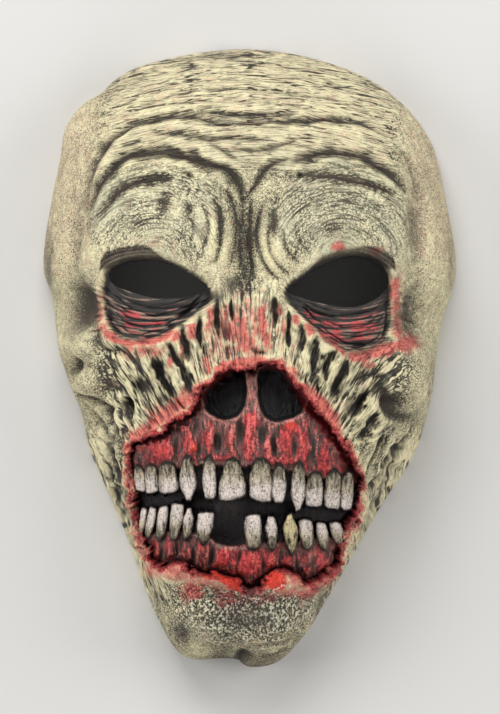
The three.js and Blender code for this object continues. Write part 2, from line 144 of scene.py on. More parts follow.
def curve_through(places, closed=False, steps=6):
    """Points on a smooth curve through the places, spaced by the root of the distance between them."""
    points = np.array(places, float)
    if closed:
        points = np.vstack([points[-1:], points, points[:2]])
    else:
        points = np.vstack([2 * points[0] - points[1], points, 2 * points[-1] - points[-2]])
    before, start, end, after = (points[k:len(points) - 3 + k, None, :] for k in range(4))
    gaps = [np.sqrt(np.linalg.norm(b - a, axis=2, keepdims=True) + 1e-6)
            for a, b in ((before, start), (start, end), (end, after))]
    leave = ((start - before) / gaps[0] - (end - before) / (gaps[0] + gaps[1])) * gaps[1] + end - start
    arrive = ((after - end) / gaps[2] - (after - start) / (gaps[1] + gaps[2])) * gaps[1] + end - start
    t = np.linspace(0, 1, steps, endpoint=False)[None, :, None]
    curve = ((2 * t ** 3 - 3 * t ** 2 + 1) * start + (t ** 3 - 2 * t ** 2 + t) * leave
             + (3 * t ** 2 - 2 * t ** 3) * end + (t ** 3 - t ** 2) * arrive)
    last = start[0] if closed else end[-1]
    return np.vstack([curve.reshape(-1, 2), last])


outline = curve_through(OUTLINE, closed=True, steps=8)
angles = np.arange(ANGLES) / ANGLES * 2 * math.pi
ray = np.stack([np.cos(angles), np.sin(angles)], axis=1)[:, None, :]
edge_start, edge = outline[:-1][None], np.diff(outline, axis=0)[None]
cross = ray[..., 0] * edge[..., 1] - ray[..., 1] * edge[..., 0]
along = (edge_start[..., 0] * edge[..., 1] - edge_start[..., 1] * edge[..., 0]) / cross
share = (edge_start[..., 0] * ray[..., 1] - edge_start[..., 1] * ray[..., 0]) / cross
radii = np.where((along > 0) & (share >= 0) & (share <= 1), along, 0).max(axis=1)


def outline_radius(x, y):
    turn = np.arctan2(y, x) / (2 * math.pi) * ANGLES
    return np.interp(turn % ANGLES, np.arange(ANGLES + 1), np.append(radii, radii[0]))


def dome_height(y):
    return DEPTH - CROWN_FALL * smooth(*CROWN_SPAN, y) - CHIN_FALL * smooth(*CHIN_SPAN, y)


def dome_power(y):
    return DOME_POWER + CHIN_POWER * smooth(*CHIN_POWER_SPAN, y)


def dome_level(x, y, z):
    reach = np.hypot(x, y) / outline_radius(x, y)
    return (z / dome_height(y)) ** 2 + reach ** dome_power(y) - 1


def draw_sheet(name, across, along):
    """A grid over the dome: the object, each point's place, the way it is carved, how squarely that way
    meets the dome, and the place on the skin laid flat."""
    bpy.ops.object.select_all(action="DESELECT")
    bpy.ops.mesh.primitive_grid_add(x_subdivisions=across, y_subdivisions=along, size=2)
    sheet = bpy.context.object
    sheet.name = name
    flat = np.zeros(len(sheet.data.vertices) * 3)
    sheet.data.vertices.foreach_get("co", flat)
    u, v = flat.reshape(-1, 3)[:, 0], flat.reshape(-1, 3)[:, 1]
    round_x, round_y = u * np.sqrt(1 - v * v / 2), v * np.sqrt(1 - u * u / 2)
    reach = np.sin(np.minimum(np.hypot(round_x, round_y), 1) * math.pi / 2)
    radius = outline_radius(round_x, round_y) * reach
    angle = np.arctan2(round_y, round_x)
    x, y = np.cos(angle) * radius, np.sin(angle) * radius
    z = dome_height(y) * np.sqrt(np.maximum(0, 1 - reach ** dome_power(y)))
    place = np.stack([x, y, z], axis=1)
    steps = np.eye(3) * SLOPE_STEP
    slopes = [dome_level(*(place + step).T) - dome_level(*(place - step).T) for step in steps]
    normal = np.stack(slopes, axis=1)
    normal /= np.linalg.norm(normal, axis=1, keepdims=True)
    lean = smooth(*LEAN_SPAN, reach)[:, None]
    way = (1 - lean) * np.array([0, 0, 1]) + lean * normal
    way /= np.linalg.norm(way, axis=1, keepdims=True)
    skin = np.stack([round_x * SKIN_REACH[0], round_y * SKIN_REACH[1]], axis=0)
    return sheet, place, way, np.sum(way * normal, axis=1), skin


outer, place, skin_way, _, (skin_x, skin_y) = draw_sheet("zombie_mask_skin", CELLS_ACROSS, CELLS_ALONG)
columns, rows = CELLS_ACROSS + 1, CELLS_ALONG + 1
X, Y, Z = place.T

# The carving of the skin
# Folds, swellings and pits as they were worked in the clay, each a height that is added over the dome.
# Every line wanders a little, and its banks are pushed up where the groove was pressed.
WANDER_LENGTH = 7
WANDER_REACH = 1.3
BANK_HEIGHT = 0.16
FOLD_SLOPE = 0.26
SLOPE_REACH = 6
GROOVE_REACH = 2.4
CREASE_ENDS = 0.2
FULL_DEPTH = 3.6
FULL_WIDTH = 1.6
GAP_BANK = 0.2
GAP_ENDS = 0.3
UNEVENNESS = 0.9
SWELLINGS = [
    # middle, half sizes, turn in degrees, height; below zero it is a hollow
    [[-43, 62], [27, 18], 8, 8], [[40, 62], [27, 18], -8, 8], [[-70, 48], [9, 14], -10, 4.5],
    [[67, 50], [8, 17], 10, 4], [[-18, 54], [8, 17], 10, 4], [[12, 53], [8, 17], -12, 4],
    [[-1, 44], [4.5, 20], 0, -3], [[-39.5, 70.5], [2.5, 6], -15, -2.8], [[11, 60], [2.5, 9], 0, -2.2],
    [[0, 14], [11, 18], 0, 5], [[-78, 6], [10, 9], 10, 7], [[-76, -12], [9, 7], 20, 6],
    [[72, -4], [11, 10], -10, 7], [[75, -17], [8, 8], -10, 6], [[68, 4], [11, 7], 20, 3.5],
    [[-79, 60], [6, 28], -8, -3.4], [[77, 60], [6, 28], -6, -3.4], [[-77, 25], [7, 12], 15, -7],
    [[77, 22], [6, 13], -10, -6], [[-46, -18], [24, 15], -35, -5.5], [[44, -20], [23, 15], 45, -5.5],
    [[-65, -46], [8, 26], 25, -4], [[62, -54], [7, 30], -28, -4], [[-51, -13.5], [4.2, 3.2], -30, -5],
    [[-58, -23], [3.6, 4.6], 0, -6], [[-66, -15], [6, 5], 0, -3], [[-42, -4], [2.5, 4], 20, -4],
    [[-79, -3], [2.6, 3.8], 0, -4.5], [[66, -21], [5, 4], 30, -5.5], [[0, -124], [34, 16], 0, 4],
    [[5, -138], [13, 8], 0, 4.5], [[-25.5, -134.5], [12, 10], 0, 4], [[-31, -128], [5, 6.5], 0, -3.6],
    [[0, -113], [36, 5], 0, -2.5], [[13, -105], [8, 5], 15, 4.5], [[-15.5, -102.5], [9, 4.5], -15, 4],
    [[-38, -100], [7, 4], -30, 3], [[-28, 84], [1.3, 1.3], 0, -2.8], [[23, 84], [1.4, 1.3], 0, -2.8],
    [[-28.5, 65.5], [2, 6], -10, -1.8], [[-47.5, 62.5], [6, 3], 0, -1.4],
    [[38.5, 60], [5, 2.5], 20, -1.6], [[-68, -28.5], [1.6, 5.5], -15, -3],
]
CREASES = [
    # width, depth, places from one end to the other
    [0.9, 1.1, [-60.5, 111.5], [-47, 118.5], [-30.5, 124], [-0.5, 125], [18.5, 123], [36.5, 121],
     [49, 117], [62, 110]],
    [0.8, 0.7, [-28, 128.5], [-0.5, 129.5], [23.5, 128.5]],
    [0.8, 0.7, [-36, 118], [-16, 119.5], [2, 118.5]],
    [0.8, 0.7, [6, 118.5], [24, 117], [41, 112.5]],
    [0.8, 0.7, [-47, 111], [-28, 116]],
    [0.8, 0.6, [-20, 106], [4, 105.5], [22, 106.5]],
    [1.3, 2.6, [-25, 115], [-11.5, 113.5], [0, 112.5], [10, 113], [23.5, 113]],
    [1.6, 2.7, [-77.5, 70.5], [-76, 80.5], [-73.5, 87.5], [-70, 93.5], [-66, 100], [-60, 105],
     [-50.5, 109.5], [-37, 112], [-25, 112], [-17.5, 109.5], [-0.5, 109], [22, 109.5], [33.5, 111],
     [44.5, 110], [53.5, 108.5], [59, 105.5], [65.5, 102]],
    [1.1, 1.2, [65.5, 102], [70, 96.5], [74, 90], [77.5, 82], [79, 74]],
    [1.2, 1.9, [-45, 104.5], [-34, 103.5], [-24, 101.5], [-11, 101], [-0.5, 101], [10, 101]],
    [1.1, 1.6, [-9.5, 96.5], [4.5, 95.5], [13.5, 97.5], [22, 101]],
    [1.1, 1.5, [-24, 101.5], [-17.5, 98.5], [-11, 94.5], [-5.5, 92]],
    [2.1, 4, [-76.5, 65.5], [-71, 78.5], [-66, 86], [-60, 92], [-52.5, 94.5], [-45, 95], [-37, 94.5],
     [-28.5, 92.5], [-21, 89], [-13, 87], [-8.5, 84], [-5, 78.5], [-3, 71.5]],
    [1.9, 3.4, [-69.5, 64.5], [-64.5, 71], [-59.5, 77], [-52.5, 80.5], [-46, 81.5], [-39.5, 82],
     [-35.5, 81.5]],
    [1.3, 2, [-3, 71.5], [1, 77.5], [3.5, 82], [7, 86.5], [13, 90], [18.5, 91.5]],
    [1.9, 3.5, [18.5, 89.5], [26, 92], [33.5, 94.5], [40.5, 95], [51, 93.5], [58, 90], [64, 86.5],
     [68.5, 82], [72.5, 76]],
    [1.7, 2.8, [23, 84], [30.5, 83.5], [39, 82.5], [47.5, 81], [55, 79.5], [62, 77.5], [66, 72.5]],
    [1.2, 1.7, [-23, 70.5], [-19.5, 64], [-20.5, 55], [-23.5, 49.5]],
    [1.3, 2.3, [-17, 74], [-13.5, 62.5], [-14, 51.5], [-17.5, 42]],
    [1.3, 2.2, [-11, 78.5], [-7, 67.5], [-6.5, 53], [-10, 41]],
    [1, 1.8, [-4.5, 77.5], [-3.9, 67.5], [-4.2, 52], [-5.5, 39.5]],
    [1, 1.8, [-0.5, 73], [-0.6, 61], [-0.2, 48.5], [1.4, 37.5]],
    [1.2, 2, [5.5, 70.5], [3, 61], [4, 48.5], [8.5, 39.5], [13.5, 34.5]],
    [1.1, 1.6, [9.5, 62.5], [8.5, 53.5], [11.5, 44], [18.5, 37.5]],
    [1, 1.3, [15, 61], [15.5, 53], [19, 46.5], [25, 42]],
    [0.8, 0.9, [-29, 72], [-26, 62], [-29, 52]],
    [0.8, 0.8, [21, 62], [22.5, 54], [29, 47]],
    [0.8, 0.9, [-4.5, 24], [-4, 14.5], [-5, 5.5]],
    [0.8, 0.9, [3.5, 24], [3.5, 14.5], [5.5, 5.5]],
    [1.9, 3, [-71.2, 15], [-69.8, 5.4], [-66, 3], [-60.5, 2.6], [-56.8, 0.2], [-54.9, -4.4]],
    [1.7, 2.8, [47, -12.5], [51, -9.5], [55.9, -8.1], [60, -7.2]],
    [1.8, 2.6, [60, -7], [58.7, -12], [56.5, -18.5]],
    [2, 2.8, [60, -13], [62.5, -18], [67, -27], [75, -29]],
    [1.6, 2.8, [-82, -16], [-73, -21.2], [-67.5, -27.3], [-66, -32], [-63, -45.5]],
    [0.7, 0.9, [-79, -3], [-82, -9]],
    [1.2, 2, [0, 4.4], [3.7, 2.1], [7.5, 1.6]],
    [1.3, 1.8, [-79, -18.5], [-73.5, -34], [-67.5, -53], [-60.5, -76], [-51, -101.5]],
    [1.8, 2.9, [-74.5, -25], [-73, -32], [-71.2, -39], [-69.5, -46], [-66.5, -54], [-62, -66], [-56, -81]],
    [1.5, 2.2, [-71, -24], [-65, -39], [-59.5, -55], [-55.5, -69]],
    [1.4, 2, [-65, -20], [-61, -32], [-57, -43.5]],
    [1.3, 1.8, [78.5, -29.5], [72, -46], [63, -64.5], [52, -83]],
    [2, 2.8, [73, -37], [70, -45], [66, -53], [62.5, -59], [57, -67]],
    [1.2, 2, [63.3, -35.6], [60.5, -43], [56, -52.5]],
    [1.1, 1.2, [63, -67], [49, -90], [35, -113.5], [24.5, -128]],
    [1.1, 1.2, [-61.5, -71.5], [-51, -97], [-43, -120.5], [-37, -134.5]],
    [1.7, 3, [-1, -132], [-4, -137.5], [-6.5, -144]],
    [1.2, 1.1, [-37, -132], [-28, -139], [-11.5, -140.5]],
    [1.5, 2, [-68, 33.5], [-68.3, 23.5], [-65.5, 13.5], [-59, 9.2], [-47, 8.2], [-38.5, 10.8],
     [-31, 15.5], [-25, 19.5]],
    [2.1, 2.8, [64.5, 35], [65, 24], [65, 14.5], [62.5, 8.5], [57, 5], [47.5, 3.2], [41, 5.5], [33, 11],
     [26, 16.5]],
]
GAPS = [
    # half width, depth, places: the slits between the strands
    [1.3, 3, [-14.9, 27], [-15.4, 19.3], [-14.9, 13.3], [-14.4, 9]],
    [0.7, 2, [-8.8, 27], [-8.4, 20.7], [-7.9, 15.5]],
    [1.4, 3.2, [-23.3, 19], [-23.3, 12.3], [-22.8, 7.7], [-22.8, 3]],
    [0.5, 1.2, [-21.5, 5.5], [-21, 0.5]],
    [1.9, 3.2, [-31.2, 16], [-30.7, 8.6], [-29.3, 3], [-27.9, -2.5]],
    [1.9, 3.4, [-39.5, 7.5], [-35.4, 2.1], [-32.1, -3], [-30.3, -7.7], [-28.4, -13.3], [-26, -18.5]],
    [2.6, 3.6, [-43.8, 0.8], [-42, -5.4], [-40, -10], [-37.7, -13.7], [-34, -19]],
    [2.6, 3, [-60.4, -18.5], [-58.7, -23.5], [-57, -29.5]],
    [1, 2.4, [12.2, 27.5], [11.6, 21.7], [12.1, 15]],
    [1.3, 3, [17.2, 21.5], [17.7, 14.7], [17.2, 10], [17.2, 4]],
    [1.9, 2.6, [23.3, 16], [23.7, 8.6], [23.7, 1]],
    [2.1, 3, [30.3, 11.5], [29.8, 5.4], [29.3, -1.6], [28.9, -7.2], [28.4, -12]],
    [2.3, 3.6, [40.3, 4], [36.8, -0.7], [34.9, -4.9], [35.4, -11.5]],
    [2, 3.6, [45.2, -1], [42.4, -7.2], [39.6, -13.3], [38, -21.5]],
    [2.7, 3.8, [55.5, -14.5], [51, -21], [46.3, -27.5]],
    [2.4, 3.6, [60.5, -25], [56, -32], [50.5, -40]],
    [0.5, 1.2, [31.7, -12], [31.2, -17.5]],
    [0.5, 1, [26.5, -7], [25, -13]],
    [0.5, 1, [-28, -6], [-25, -13]],
    [1.1, 2.4, [-81, -17], [-73, -21.2], [-67.5, -27.3], [-66, -32], [-63, -45.5]],
    [1, 2.4, [-74.5, -25], [-73, -32], [-71.2, -39], [-69.8, -46], [-67.5, -53], [-64, -62]],
    [0.6, 1.6, [-61, -32], [-60.5, -42], [-60, -52], [-59, -62]],
    [0.6, 1.4, [-70, -50], [-66, -62], [-61, -74]],
    [1.1, 2.4, [72.5, -38.5], [70, -45], [67.5, -50.5], [63, -57], [58, -66]],
    [1, 2.4, [63.3, -35.6], [60.5, -43], [57, -50.5]],
    [0.8, 1.6, [77, -33], [74, -42], [70, -51]],
    [0.6, 1.4, [66, -34], [64, -42], [60.5, -51]],
    [0.7, 1.6, [59, -48], [55, -56], [54, -61]],
]
FANS = [
    # how many, width, depth, first line, last line
    [8, 0.6, 1, [[-64.5, 33], [-54.5, 27], [-42, 24], [-28, 26], [-20.5, 30]],
     [[-66.5, 18], [-56, 11], [-44, 11], [-32.5, 16.5], [-21.5, 26.5]]],
    [8, 0.6, 1, [[19.5, 28], [31.5, 22], [44, 20.5], [57, 23.5], [63.5, 28]],
     [[21.5, 24.5], [37, 11], [50.5, 6.5], [59.5, 10.5], [64, 18]]],
    [9, 0.6, 0.8, [[-68.5, 32], [-72, 33.5], [-75.5, 35]], [[-68, 11.5], [-71.5, 8.5], [-74.5, 6.5]]],
    [9, 0.6, 0.8, [[67.5, 31], [71.5, 33.5], [75.5, 35.5]], [[67, 12.5], [74.5, 7.5], [81, 2]]],
    [15, 0.6, 1.1, [[-57, -10], [-54, -20], [-50, -36]], [[-45, -3], [-36.5, -16], [-29, -24]]],
    [9, 0.6, 0.9, [[-66, -18], [-62, -30], [-58, -38]], [[-57, -28], [-53.5, -33], [-50, -38]]],
    [5, 0.5, 0.8, [[-26, 2], [-23.5, -6], [-20.5, -14]], [[-18, 4], [-15, -2], [-11, -6]]],
    [11, 0.6, 0.9, [[20, 6], [21, -4], [24, -12]], [[42, -13], [38.5, -22], [35.5, -29]]],
    [9, 0.6, 1, [[50, -13], [45, -22], [40, -33]], [[62, -36], [55.5, -45], [50, -54]]],
    [4, 0.7, 0.7, [[-21, -134.5], [-4.5, -135.5], [16.5, -132]],
     [[-23.5, -139], [-4.5, -142], [11.5, -139]]],
    [3, 0.7, 0.7, [[0, -127.5], [14, -127], [25.5, -123.5]], [[-2.5, -134], [14, -133], [23.5, -130]]],
]
SCATTER = (127.1, 311.7, 74.7, 43758.5453)
seeded = np.random.default_rng(11)


def wander(x, y, seed):
    """Smooth noise of one step per unit, from -0.5 to 0.5."""
    def corner(i, j):
        value = np.sin(i * SCATTER[0] + j * SCATTER[1] + seed * SCATTER[2]) * SCATTER[3]
        return value - np.floor(value)
    i, j = np.floor(x), np.floor(y)
    s, t = x - i, y - j
    s, t = s * s * (3 - 2 * s), t * t * (3 - 2 * t)
    low = corner(i, j) * (1 - s) + corner(i + 1, j) * s
    high = corner(i, j + 1) * (1 - s) + corner(i + 1, j + 1) * s
    return low * (1 - t) + high * t - 0.5


def nearest(x, y, line):
    """Distance to a line of points, how far along it the nearest one lies, and if this is on its left."""
    least, share, left = np.full(x.shape, np.inf), np.zeros(x.shape), np.zeros(x.shape, bool)
    spans = len(line) - 1
    for k in range(spans):
        (ax, ay), (ex, ey) = line[k], line[k + 1] - line[k]
        t = np.clip(((x - ax) * ex + (y - ay) * ey) / (ex * ex + ey * ey + 1e-9), 0, 1)
        squared = (x - ax - t * ex) ** 2 + (y - ay - t * ey) ** 2
        closer = squared < least
        least = np.where(closer, squared, least)
        share = np.where(closer, (k + t) / spans, share)
        left = np.where(closer, ex * (y - ay) > ey * (x - ax), left)
    return np.sqrt(least), share, left


def within(line, reach):
    low, high = line.min(axis=0) - reach, line.max(axis=0) + reach
    return np.flatnonzero((X > low[0]) & (X < high[0]) & (Y > low[1]) & (Y < high[1]))


wander_x = X + WANDER_REACH * wander(skin_x / WANDER_LENGTH, skin_y / WANDER_LENGTH, 1)
wander_y = Y + WANDER_REACH * wander(skin_x / WANDER_LENGTH, skin_y / WANDER_LENGTH, 2)
skin_rise, ink, shadow = (np.zeros(len(X)) for _ in range(3))


def spot(middle, sizes, x=X, y=Y, turn=0):
    """1 at the middle of an oval, and down to a third at its half sizes."""
    along, aside = turned(x - middle[0], y - middle[1], turn)
    return np.exp(-(along / sizes[0]) ** 2 - (aside / sizes[1]) ** 2)


def wedge(distance, reach):
    """1 at no distance, and straight down to 0 at the reach."""
    return np.clip(1 - distance / reach, 0, 1)


def press_crease(width, depth, places):
    """A groove with a sharp bottom, where the skin on the left of the line slopes down into it."""
    line = curve_through(places)
    near = within(line, width * SLOPE_REACH + 1)
    distance, share, left = nearest(wander_x[near], wander_y[near], line)
    fade = np.sqrt(np.clip(np.minimum(share, 1 - share) / CREASE_ENDS, 0, 1))
    uneven = 1 + UNEVENNESS * wander(X[near] / 5, Y[near] / 5, 51)
    groove = width * (0.6 + 0.4 * fade) * uneven
    bank = BANK_HEIGHT * bell(distance - GROOVE_REACH * groove, 1.1 * groove)
    slope = FOLD_SLOPE * left * smooth(0, 0.6, distance) * wedge(distance, SLOPE_REACH * groove) ** 1.5
    skin_rise[near] += depth * fade * (bank - slope - wedge(distance, GROOVE_REACH * groove) ** 1.8)
    weight = fade * min(1, 0.2 + depth / FULL_DEPTH)
    core = np.clip(1.2 - distance / (0.22 + 0.24 * groove), 0, 1)
    ink[near] = np.maximum(ink[near], weight * core)
    side_shade = 0.35 * wedge(distance, 1.1 * groove) + 0.65 * left * wedge(distance, GROOVE_REACH * groove)
    shadow[near] = np.maximum(shadow[near], weight * side_shade * min(1, width / FULL_WIDTH))


def press_gap(width, depth, places):
    """A slit with a flat bottom that narrows to both ends, and has raised sides."""
    line = curve_through(places)
    near = within(line, width * 3 + 2)
    distance, share, _ = nearest(wander_x[near], wander_y[near], line)
    fade = np.sqrt(np.clip(np.minimum(share, 1 - share) / GAP_ENDS, 0, 1))
    ragged = wander(X[near] / 3, Y[near] / 3, 52) + 0.7 * wander(X[near] / 1.1, Y[near] / 2.4, 54)
    half = width * (0.25 + 0.75 * fade) * (1 + UNEVENNESS * ragged)
    inside = smooth(1.6 * half, 0.2 * half, distance)
    skin_rise[near] += depth * fade * (GAP_BANK * bell(distance - 1.9 * half, 0.9 * half) - inside)
    ink[near] = np.maximum(ink[near], inside * np.minimum(1, 1.4 * fade))
    shadow[near] = np.maximum(shadow[near], 0.5 * fade * smooth(2.4 * half, half, distance))


for middle, sizes, turn, rise in SWELLINGS:
    skin_rise += rise * spot(middle, sizes, turn=turn)
for width, depth, *places in CREASES:
    press_crease(width, depth, places)
for width, depth, *places in GAPS:
    press_gap(width, depth, places)
for count, width, depth, first, last in FANS:
    first, last = np.array(first, float), np.array(last, float)
    for k in range(count):
        part = (k + seeded.uniform(-0.3, 0.3)) / (count - 1)
        line = first + (last - first) * part + seeded.uniform(-1, 1, first.shape)
        press_crease(width * seeded.uniform(0.7, 1.3), depth * seeded.uniform(0.6, 1.3), line)

# The eye sockets
# Each socket is sunk behind the brow, shallower at the bag below the eye, and has a rolled rim. The eye
# hole is cut right through its upper part, and the lid above it hangs in pleats.
SOCKET_REACH = 12
SOCKET_SINK = 8
BAG_RISE = 4
BAG_SPAN = (46, 6)
RIM_HEIGHT = 0.7
RIM_INSET = 3.2
RIM_WIDTH = 2
EYE_REACH = 8
LID_HEIGHT = 1.1
LID_BACK = -4.6
LID_FRONT = -3.6
LEFT_FOLD = 7
RIGHT_FOLD = 3.8
RIGHT_FOLD_OUTER = 6.4
FOLD_SINK = 1.2
PLEAT_DEPTH = 0.45
PLEAT_WIDTH = 1.7
EYES = [
    [[-19.5, 32], [-28, 38.5], [-36.5, 42.5], [-45, 44.5], [-54.5, 44], [-62.5, 41.5], [-65.5, 38.5],
     [-63, 33.5], [-54.5, 30], [-45.5, 27.5], [-36.5, 27], [-28, 28]],
    [[17, 30.5], [25, 37], [35.5, 43], [44, 46], [51.5, 46], [58.5, 43], [63.5, 38.5], [64, 33.5],
     [61.5, 29.5], [57.5, 26.5], [50.5, 23.5], [43.5, 23], [34, 24.5], [25, 27]],
]
SOCKETS = [
    [[-19, 31.5], [-28, 38.5], [-37, 43.5], [-46.5, 45.5], [-56, 45], [-64, 41], [-68, 33.5], [-68.5, 24],
     [-65.5, 13.5], [-56, 8.5], [-44, 9], [-33.5, 14], [-25, 20], [-18, 26.5]],
    [[16.5, 31], [24.5, 38], [35, 44.5], [44, 47], [53.5, 47], [61.5, 43.5], [64.5, 35], [65, 24],
     [65, 15], [62.5, 8.5], [56.5, 5], [47.5, 3.5], [41.5, 5.5], [33, 11], [26, 16.5], [18.5, 24.5]],
]


def inset_of(places, reach):
    """Depth inside a closed outline, below zero outside it and no less than -reach."""
    line = curve_through(places, closed=True)
    depth = np.full(len(X), -float(reach))
    near = within(line, reach)
    x, y = X[near], Y[near]
    distance = nearest(x, y, line)[0]
    inside = np.zeros(len(near), bool)
    for (ax, ay), (bx, by) in zip(line[:-1], line[1:]):
        if ay != by:
            inside ^= ((ay > y) != (by > y)) & (x < (bx - ax) * (y - ay) / (by - ay) + ax)
    depth[near] = np.where(inside, distance, -np.minimum(distance, reach))
    return depth


low = smooth(*BAG_SPAN, Y)
brink = 0.6 + 1.6 * (1 - low)
insets = [inset_of(places, SOCKET_REACH) for places in SOCKETS]
for inset in insets:
    rim = RIM_HEIGHT * low * bell(inset + RIM_INSET, RIM_WIDTH)
    skin_rise += rim - smooth(-brink, brink + 0.6, inset) * (SOCKET_SINK - BAG_RISE * low)
socket = np.maximum(*insets)
eye = np.maximum(*(inset_of(places, EYE_REACH) for places in EYES))
lower_lid = smooth(-1, 2, socket) * smooth(42, 36, Y)
skin_rise += LID_HEIGHT * smooth(LID_BACK, LID_FRONT, eye) * lower_lid
left_fold = LEFT_FOLD * smooth(-35, -50, X) * smooth(-72, -66, X)
right_fold = RIGHT_FOLD + (RIGHT_FOLD_OUTER - RIGHT_FOLD) * smooth(46, 58, X)
right_fold = right_fold * smooth(22, 34, X) * smooth(70, 65, X)
fold_height = np.where(X < 0, left_fold, right_fold)
lid_fold = smooth(fold_height + 1, fold_height - 1, -eye) * smooth(0.5, 2, fold_height)
lid_fold = lid_fold * smooth(38, 42, Y) * (eye > 0.1 - EYE_REACH)
pleats = np.cos((eye + 0.5 * wander(X / 3, Y / 3, 53)) * 2 * math.pi / PLEAT_WIDTH)
skin_rise -= lid_fold * (FOLD_SINK + PLEAT_DEPTH * pleats)

# The torn mouth and nose
# The skin is torn away round the nose and mouth. Its ragged edge is rolled up, and behind it lie the gum,
# swollen over every root, two nostrils, and the dark gap between the jaws.
TEAR = [
    [-3, -5.5], [6, -4], [14, -5], [18, -9], [23, -14.5], [27, -20], [32.5, -27], [36.5, -33],
    [42.5, -39], [46, -47.5], [50, -54], [53, -62], [52, -69.5], [50, -75.5], [46, -81.5], [42.5, -87.5],
    [40, -95], [35.5, -101], [26.5, -105.5], [23.5, -101.5], [19, -99], [13.5, -99.5], [7.5, -103],
    [4, -108], [-2.5, -107], [-8, -102.5], [-14.5, -99.5], [-22, -100], [-27.5, -98], [-31.5, -94.5],
    [-39.5, -96.5], [-45, -94], [-49, -87], [-52, -81], [-54, -73], [-55.5, -65.5], [-57, -57.5],
    [-56, -49.5], [-55, -41.5], [-46.5, -37.5], [-38.5, -33.5], [-31.5, -29], [-26, -25.5], [-23.5, -21],
    [-22.5, -14.5], [-17, -12], [-11, -7.5], [-7, -5.5],
]
NOSTRILS = [
    [[-3.5, -5.5], [-11, -7], [-17.5, -12.5], [-21.5, -17.5], [-20.5, -24], [-15.5, -28], [-10, -29],
     [-5.5, -27], [-2.5, -23], [-1.5, -15.5]],
    [[4.5, -5.5], [13, -5.5], [18, -11], [23, -16.5], [25.5, -21.5], [23.5, -26], [18.5, -28.5],
     [11.5, -30], [6.5, -27.5], [4, -22], [3.5, -14.5]],
]
MOUTH = [
    [-57, -61], [-46.5, -60.5], [-28, -61], [-8, -63], [5.5, -64], [22, -67], [39.5, -68.5],
    [50.5, -70.5], [52, -76], [44, -82.5], [18, -82.5], [1, -81], [-3.5, -86], [-9.5, -87.5],
    [-16, -85.5], [-20.5, -80], [-33.5, -77], [-54.5, -76],
]
ROOTS = [
    [-57, -54], [-50, -53.5], [-45, -53], [-37, -52], [-28, -50.5], [-18, -50], [-8, -50.5], [5, -51],
    [13, -53], [22, -53.5], [30, -56.5], [38, -56.5], [45, -57], [51, -60], [52, -70], [49, -79],
    [44, -82], [39, -83], [32, -84.5], [25, -85], [18, -86], [10, -85.5], [2, -86], [-3, -87],
    [-9.5, -87.5], [-16, -85], [-21, -82.5], [-28, -81], [-34, -81.5], [-42, -81.5], [-49, -81],
    [-54, -78], [-57, -66],
]
GUM_SWELLINGS = [
    # middle, half sizes, how red it is painted
    [[-27.9, -38.9], [3.6, 9], 0.55], [[-19, -38], [2.6, 6.5], 0.7], [[-8.8, -40.7], [2.2, 7], 0.65],
    [[-1, -37], [2.6, 9.5], 1], [[8.4, -42.6], [2.2, 6], 0.8], [[17.2, -36.5], [3.6, 8], 0.95],
    [[24.2, -41.7], [2.8, 9], 0.8], [[34, -46], [2.4, 8], 0.8], [[-41, -43.5], [6.5, 4.8], 0.9],
    [[-26.5, -41.7], [2.3, 2.4], 1.2], [[19, -31.5], [4, 2.8], 1.1], [[0.5, -30], [3.4, 4.2], 1.15],
    [[-18, -46.5], [12, 1.8], 0.5], [[14, -47.5], [10, 2], 0.75], [[-44.7, -91], [2.6, 5], 0.85],
    [[-37.7, -89.5], [2.4, 5], 0.6], [[-29.3, -91], [3, 4.5], 0.45], [[-21.5, -90], [3.4, 5.5], 0.4],
    [[-12.5, -92.4], [3.4, 5], 0.9], [[-1.4, -94.7], [6.5, 6.5], 1.05], [[9.3, -94.2], [4, 4.5], 0.85],
    [[17.2, -95.5], [3.6, 3.8], 0.8], [[27, -96], [4.5, 6], 0.3], [[33, -94.7], [2.8, 5.5], 0.75],
]
GUM_PITS = [
    # middle, half sizes, depth
    [[-34, -41.2], [1.2, 6.5], 1.6], [[-25.1, -31.9], [2.2, 5], 1.4], [[-23.6, -42], [1, 5], 1.4],
    [[-15.2, -38.9], [2, 5], 2.4], [[-4.9, -34.2], [1.8, 6], 2.2], [[5.6, -36.5], [2.4, 5.6], 2],
    [[11.2, -41.2], [1.1, 5], 2.6], [[20.6, -41.5], [1.4, 5], 1.8], [[28.6, -42.6], [1.8, 7.4], 1.7],
    [[-5.1, -93], [0.9, 3.8], 1.8], [[6.2, -97], [0.8, 3.4], 1.4], [[13.5, -95.7], [0.7, 3.6], 1.4],
    [[-41.4, -92.5], [0.9, 4.6], 1.8], [[-33.4, -90], [0.8, 4.6], 1.4], [[-26.3, -92.5], [1.2, 5], 2],
    [[-17.8, -92.4], [1.3, 5.4], 2.2], [[21.8, -97], [0.9, 5], 1.6], [[29.8, -96], [0.8, 4.5], 1.2],
]
GUM_DEPTH = 8
MOUTH_DEPTH = 8
NOSE_DEPTH = 11
JAW_RISE = 4
JAW_MIDDLE = (0, -68)
JAW_SIZE = (34, 40)
TOOTH_RISE = 5.5
TOOTH_LEAN = 0.06
UPPER_LEAN_SHARE = 0.4
POINT_TAPER = 0.75
TIP_SLANT = 0.012
TIP_SOFTNESS = 0.09
RAGGED_SIDE = 0.5
ROOT_SWELL = 1.2
ROOT_SINK = 3.2
GUM_SWELL = 1.5
DARKEST_PIT = 2.4
EDGE_SINK = 3.6
NOSTRIL_LIP = 1.2
YELLOW_TOOTH = 18.3
